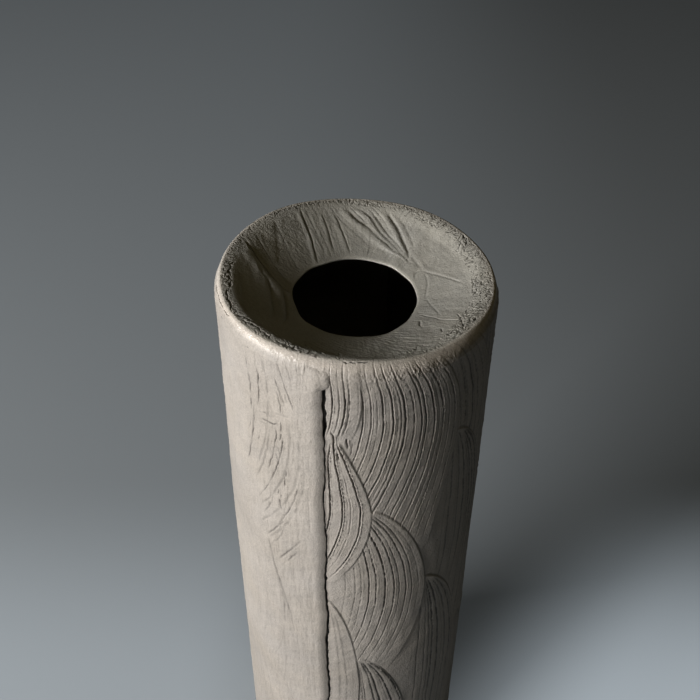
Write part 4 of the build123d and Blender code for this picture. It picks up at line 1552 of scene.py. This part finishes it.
# %% Slip in the lap
LAP_ROWS = 160
lap_s = np.linspace(-LAP_LENGTH, -1.6, 12)
lap_top = joint_height(body_radius * np.sin(seam_bearing))
lap_v = wall_foot + (lap_top - wall_foot) * np.linspace(0, 1, LAP_ROWS)[:, None]
lap_bearing = seam_bearing + (lap_s + fade_under(lap_s) * seam_sway(lap_v)) / body_radius
lap_plain = bevel(lap_s) + hand_swell(lap_bearing, lap_v) * fade_under(lap_s)
lap_low = lap_plain - TRENCH * dip(lap_s, lap_v)
lap_high = lap_plain + slip_layer - OVER_TRENCH * dip(lap_s, lap_v)
lap_faces = on_pot(lap_low, lap_bearing, lap_v), on_pot(lap_high, lap_bearing, lap_v)[:, ::-1]
lap_slip = np.concatenate(lap_faces, axis=1)
lap_slip[-1, :, 2] = joint_height(lap_slip[-1, :, 0])
# The whole layer is painted dark as shade.
make_piece("lap_slip_layer", lap_slip, "seam_slip", "slip", 1.0)

# %% [markdown]
# ## The wad over the seam's end
# At the top of the seam a small wad of soft clay was thumbed over the end of the lap and up onto the rim.
# To the left it is smeared out to nothing. To the right it ends in a round, steep edge over the trench.
# The wad is a round cushion: rings of points from its middle to its edge, then back inside the wall.

# %% Wad
WAD_PLACE, WAD_HEIGHT, WAD_HALF = seam_place - 0.7, 294.4, (3.5, 4.8)
WAD_RINGS, SQUARENESS, WAD_CROWN, WAD_DEPTH = 44, 2.6, 0.55, 1.6


def plain_radius(x, v):
    """Radius of the plain wall and rim at height v: upright, then the quarter oval of the rim's roll."""
    over = (v - (seat_height - rim_lean * x) - crest_height) / CREST_ROUND + 1
    rolled = (1 - np.clip(over, 0, 0.98) ** (2 / ROLL_EDGE)) ** (ROLL_EDGE / 2)
    return CREST_PLACE + (body_radius - CREST_PLACE) * rolled


spread = np.linspace(0.04, 1, WAD_RINGS)[:, None]
way = np.linspace(0, 2 * np.pi, 120, endpoint=False)
outline = 1 + 0.03 * swell((3 * np.cos(way), 3 * np.sin(way)), 6, 95)
rounded = np.abs(np.cos(way)) ** SQUARENESS + np.abs(np.sin(way)) ** SQUARENESS
outline = outline / rounded ** (1 / SQUARENESS)
outline = outline + 1.3 * np.maximum(-np.cos(way), 0) ** 2 + 0.06 * np.maximum(np.sin(way), 0) ** 2
wad_u = WAD_PLACE + WAD_HALF[0] * outline * spread * np.cos(way)
wad_v = WAD_HEIGHT + WAD_HALF[1] * outline * spread * np.sin(way)
wad_bearing = wad_u / body_radius
base = plain_radius(body_radius * np.sin(wad_bearing), wad_v) + hand_swell(wad_bearing, wad_v)
on_lap = smooth_step((seam_place + 1.2 - wad_u) / 4)
ground = base + lap_rise(np.maximum(seam_place - wad_u, 0), wad_v) * on_lap
right_side = smooth_step(0.45 + 0.6 * np.cos(way) - 0.6 * np.sin(way))
shape = (1 - spread ** (2 + 1.4 * right_side)) ** (2.4 - 1.8 * right_side)
crown = WAD_CROWN + 0.05 * swell((wad_u, wad_v), 9, 96)
wad_face = on_pot(ground + crown * shape - 0.45 * spread**5, wad_bearing, wad_v)
wad_back = on_pot(base - WAD_DEPTH, wad_bearing, wad_v)[::-1]
# Painted shade along the wad's steep right edge.
wad_edge_shade = np.concatenate([0.6 * right_side * smooth_step((spread - 0.9) / 0.1), 0 * wad_u])
make_piece("seam_wad", np.concatenate([wad_face, wad_back]), "seam_plug", "wall_clay", wad_edge_shade)

# %% [markdown]
# ## The floor
# The floor is a round slab with a bevelled lower edge. Its rows run along its section, from the middle of
# the underside out to the edge and back to the middle of the upper side. It was cut and wiped by hand, so
# the underside is a little uneven inside the ring that touches the table.

# %% Floor disc
BEVEL, FOOT_RING = 1.5, 46.0
floor_bearings = np.linspace(-np.pi, np.pi, 360, endpoint=False)
floor_section = np.array(
    [
        (1.0, 0.6),
        (43.0, 0.5),
        (FOOT_RING, 0.0),
        (body_radius - BEVEL, 0.0),
        (body_radius - 0.25, BEVEL - 0.25),
        (body_radius, BEVEL + 0.2),
        (body_radius, floor_top - 0.02),
        (body_radius - 0.02, floor_top),
        (1.0, floor_top),
    ]
)
floor_section = fill_in(floor_section, 2.0)
floor_r, floor_z = floor_section[:, :1], floor_section[:, 1:]
floor_places = *ring_place(floor_r, floor_bearings), floor_z + 0 * floor_bearings
inside_foot = smooth_step((FOOT_RING - 0.5 - floor_r) / 6) * (floor_z < 3)
floor_uneven = 0.12 * swell(floor_places, 24, 97) * inside_foot
floor_uneven = floor_uneven + 0.05 * swell(floor_places, 7, 98) * inside_foot
edge_uneven = (0.06 * swell(floor_places, 9, 99)) * (floor_r > 50) * between(floor_z, 0.2, floor_top, 1.2)
floor_points = on_pot(floor_r + edge_uneven, floor_bearings, floor_z + floor_uneven)
make_piece("floor_slab", floor_points, "floor_disc", "floor_clay", 0.0)

# %% [markdown]
# ## Soft coils inside
# Coils of soft clay back the joints on the inside. Each was pressed into its corner and smoothed with a
# fingertip, which leaves a hollow curve with shallow thumb marks. They are seen only through the mouth.
# A ring coil is a section carried round the pot, upright on the floor or leaning under the collar.

# %% Ring coils
COIL_EDGE, COIL_COLUMNS, THUMB_DEPTH = 1.0, 540, 0.5


def hollow(start, end, sag, count=14):
    """Arc-like curve from start to end that bends away from its chord by sag: a parabola beside it."""
    start, end = np.array(start, float), np.array(end, float)
    step = np.linspace(0, 1, count)[:, None]
    chord = end - start
    square = np.array([-chord[1], chord[0]]) / np.linalg.norm(chord)
    return start + chord * step + 4 * sag * step * (1 - step) * square


def thumb_marks(angle, depth):
    """Shallow dents one after another round a coil, uneven in length and depth."""
    places = ring_place(bore_radius, angle)
    return depth * (0.5 * swell(places, 26, 111) + 0.25 * swell(places, 9, 112))


def ring_coil(name, node, corner_points, hollow_points, place):
    """Carries a coil's section round the pot: its corner is fixed, and its hollow face has thumb marks."""
    angle = np.linspace(-np.pi, np.pi, COIL_COLUMNS, endpoint=False)
    corner_points = np.array(corner_points, float)
    section = np.concatenate([hollow_points, corner_points])
    bulge = np.sin(np.linspace(0, np.pi, len(hollow_points)))
    marked = np.concatenate([bulge, np.zeros(len(corner_points))])
    away = section_normals(section)
    push = thumb_marks(angle, THUMB_DEPTH)[None, :] * marked[:, None]
    points = on_pot(section[:, :1] + push * away[:, :1], angle, section[:, 1:] + push * away[:, 1:])
    # The coils are painted dark as shade, as the inside of the pot is.
    make_piece(name, place(points), node, "coil_clay", PAINTED_INSIDE_SHADE, closed=True)


FLOOR_LEG, COLLAR_LEG = 7.0, 6.0
coil_foot, coil_side = bore_radius - FLOOR_LEG, floor_top + FLOOR_LEG
floor_corner = [(bore_radius, coil_side), (bore_radius, floor_top), (coil_foot, floor_top)]
floor_hollow = hollow((coil_foot, floor_top + COIL_EDGE), (bore_radius - COIL_EDGE, coil_side), -0.7)
ring_coil("floor_coil_ring", "floor_coil", floor_corner, floor_hollow, lambda points: points)
coil_top = COLLAR_LEG * under_fall
coil_inside, coil_hem = bore_radius - COLLAR_LEG, coil_top - COLLAR_LEG
collar_corner = [(coil_inside, coil_top), (bore_radius, 0.0), (bore_radius, coil_hem)]
collar_hollow = hollow((bore_radius - COIL_EDGE, coil_hem), (coil_inside, coil_top - COIL_EDGE), -0.6)
ring_coil("collar_coil_ring", "collar_coil", collar_corner, collar_hollow, lean_over)

# %% [markdown]
# The coil along the seam keeps the lap from opening. It is a half-moon carried upwards from the floor's coil
# to the collar's coil, and it is thicker and thinner along its length, as a rolled coil is.

# %% Coil along the seam
COIL_WIDTH, COIL_THICK, COIL_ROWS = 14.0, 3.0, 220
coil_middle = seam_bearing - LAP_LENGTH / body_radius
coil_way = np.linspace(-1, 1, 25)
coil_heights = np.linspace(0, 1, COIL_ROWS)[:, None]
coil_low = floor_top + FLOOR_LEG
coil_high = joint_height(bore_radius * np.sin(coil_middle)) + slip_layer + coil_top - COLLAR_LEG
coil_v = coil_low + (coil_high - coil_low) * coil_heights
coil_bearing = coil_middle + coil_way * COIL_WIDTH / 2 / bore_radius
uneven = 1 + 0.1 * swell((coil_v + 0 * coil_way, 4 * coil_way), 22, 113)
thickness = COIL_THICK * (1 - coil_way**2) ** 0.7 * uneven
coil_face = on_pot(bore_radius - thickness, coil_bearing, coil_v)
coil_back = on_pot(bore_radius + 0 * coil_v, coil_bearing[1:-1][::-1], coil_v)
coil_skin = np.concatenate([coil_face, coil_back], axis=1)
# The coil is painted dark as shade, as the inside of the pot is.
make_piece("seam_coil_strip", coil_skin, "seam_coil", "coil_clay", PAINTED_INSIDE_SHADE)

# %% [markdown]
# ## The table
# The vase stands on one plain pale sheet. In the photograph the sheet is lit more evenly than one lamp lights
# it, so its shader also glows a little, and only for the camera. The glow changes softly with the place on
# the sheet, in metres.

# %% Table
HALF = 6.0
PAPER, GLOW = (0.262, 0.288, 0.308, 1), (0.88, 1.0, 1.1, 1)
table_mesh = bpy.data.meshes.new("table_sheet")
table_corners = [(-HALF, -HALF, 0), (HALF, -HALF, 0), (HALF, HALF, 0), (-HALF, HALF, 0)]
table_mesh.from_pydata(table_corners, [], [(0, 1, 2, 3)])
table_sheet = bpy.data.objects.new("table_sheet", table_mesh)
bpy.context.scene.collection.objects.link(table_sheet)
paper = bpy.data.materials.new("pale_paper")
paper.use_nodes = True
tree = paper.node_tree
shader = tree.nodes["Principled BSDF"]
shader.inputs["Base Color"].default_value = PAPER
shader.inputs["Roughness"].default_value = 0.9
shader.inputs["Emission Color"].default_value = GLOW
split = add_node(tree, "ShaderNodeSeparateXYZ")
tree.links.new(tree.nodes.new("ShaderNodeTexCoord").outputs["Object"], split.inputs[0])


def glow_range(socket, start, end, low, high):
    """Brightness that goes softly from low at a place start to high at a place end, in metres."""
    levels = {1: start, 2: end, 3: low, 4: high}
    made = add_node(tree, "ShaderNodeMapRange", levels, interpolation_type="SMOOTHSTEP")
    tree.links.new(socket, made.inputs["Value"])
    return made.outputs["Result"]


far_glow = glow_range(split.outputs["X"], -0.1, 0.3, 0.04, 0.005)
beside_shadow = maths(tree, "SUBTRACT", split.outputs["X"], maths(tree, "MULTIPLY", split.outputs["Y"], 0.75))
near_glow = glow_range(split.outputs["X"], -0.1, 0.0, 0.13, 0.0)
near_glow = maths(tree, "ADD", near_glow, glow_range(beside_shadow, 0.02, 0.145, 0.0, 0.3))
near_glow = maths(tree, "MULTIPLY", near_glow, glow_range(split.outputs["Y"], 0.0, 0.17, 1.0, 0.0))
seen = tree.nodes.new("ShaderNodeLightPath").outputs["Is Camera Ray"]
glow = maths(tree, "MULTIPLY", maths(tree, "ADD", far_glow, near_glow), seen)
tree.links.new(glow, shader.inputs["Emission Strength"])
table_mesh.materials.append(paper)
print(f"table sheet is {2 * HALF:.0f} m wide")

# %% [markdown]
# ## The light
# The photograph was taken beside a window: one broad soft light low on the left, and little from anywhere
# else. A large area lamp stands in for the window. A weak warm lamp overhead and a dim warm world stand in
# for the room, so that the shade isn't black.

# %% Lamps and world
AIM_HEIGHT = 0.16
ROOM_COLOUR, ROOM_STRENGTH = (1.0, 0.8, 0.25, 1), 0.004


def area_lamp(name, bearing_degrees, elevation, distance, size, watts, colour):
    """A soft lamp at a bearing, elevation and distance in metres, turned towards the middle of the vase."""
    lamp = bpy.data.lights.new(name, "AREA")
    lamp.shape, lamp.size, lamp.size_y = "RECTANGLE", size[0], size[1]
    lamp.energy, lamp.color = watts, colour
    made = bpy.data.objects.new(name, lamp)
    around_z = Matrix.Rotation(np.radians(bearing_degrees), 4, "Z")
    tilt = Matrix.Rotation(np.radians(90 - elevation), 4, "X")
    lift = Matrix.Translation((0, 0, AIM_HEIGHT))
    made.matrix_world = lift @ around_z @ tilt @ Matrix.Translation((0, 0, distance))
    bpy.context.scene.collection.objects.link(made)
    print(f"lamp {name}: {watts} W")


area_lamp("window", -62, 19, 1.2, (0.8, 0.42), 16.6, (1.0, 0.985, 0.97))
area_lamp("room", 15, 76, 1.6, (1.2, 1.2), 0.75, (1.0, 0.84, 0.45))
world = bpy.data.worlds.new("soft_room")
world.use_nodes = True
world.node_tree.nodes["Background"].inputs["Color"].default_value = ROOM_COLOUR
world.node_tree.nodes["Background"].inputs["Strength"].default_value = ROOM_STRENGTH
bpy.context.scene.world = world
bpy.context.scene.view_settings.view_transform = "Standard"

# %% [markdown]
# ## The camera
# The camera looks down on the vase from the front. Its lens, place and tilt were worked out from the vase's
# outline in the photograph, by moving them until the rim, the mouth and both sides met it.

# %% Camera
LENS, SENSOR = 54.36, 36.0
CAMERA_PLACE, CAMERA_TILT, CAMERA_TURN = (-0.0019, -0.3071, 0.5387), 48.04, 0.25
camera_data = bpy.data.cameras.new("camera")
camera_data.sensor_width = SENSOR
camera_data.lens = LENS
camera_data.clip_start, camera_data.clip_end = 0.01, 20
camera = bpy.data.objects.new("camera", camera_data)
look_down = Matrix.Rotation(np.radians(CAMERA_TILT), 4, "X")
turn = Matrix.Rotation(np.radians(CAMERA_TURN), 4, "Z")
camera.matrix_world = Matrix.Translation(CAMERA_PLACE) @ (look_down @ turn)
bpy.context.scene.collection.objects.link(camera)
bpy.context.scene.camera = camera
print("camera at", [round(c, 3) for c in camera.matrix_world.translation])
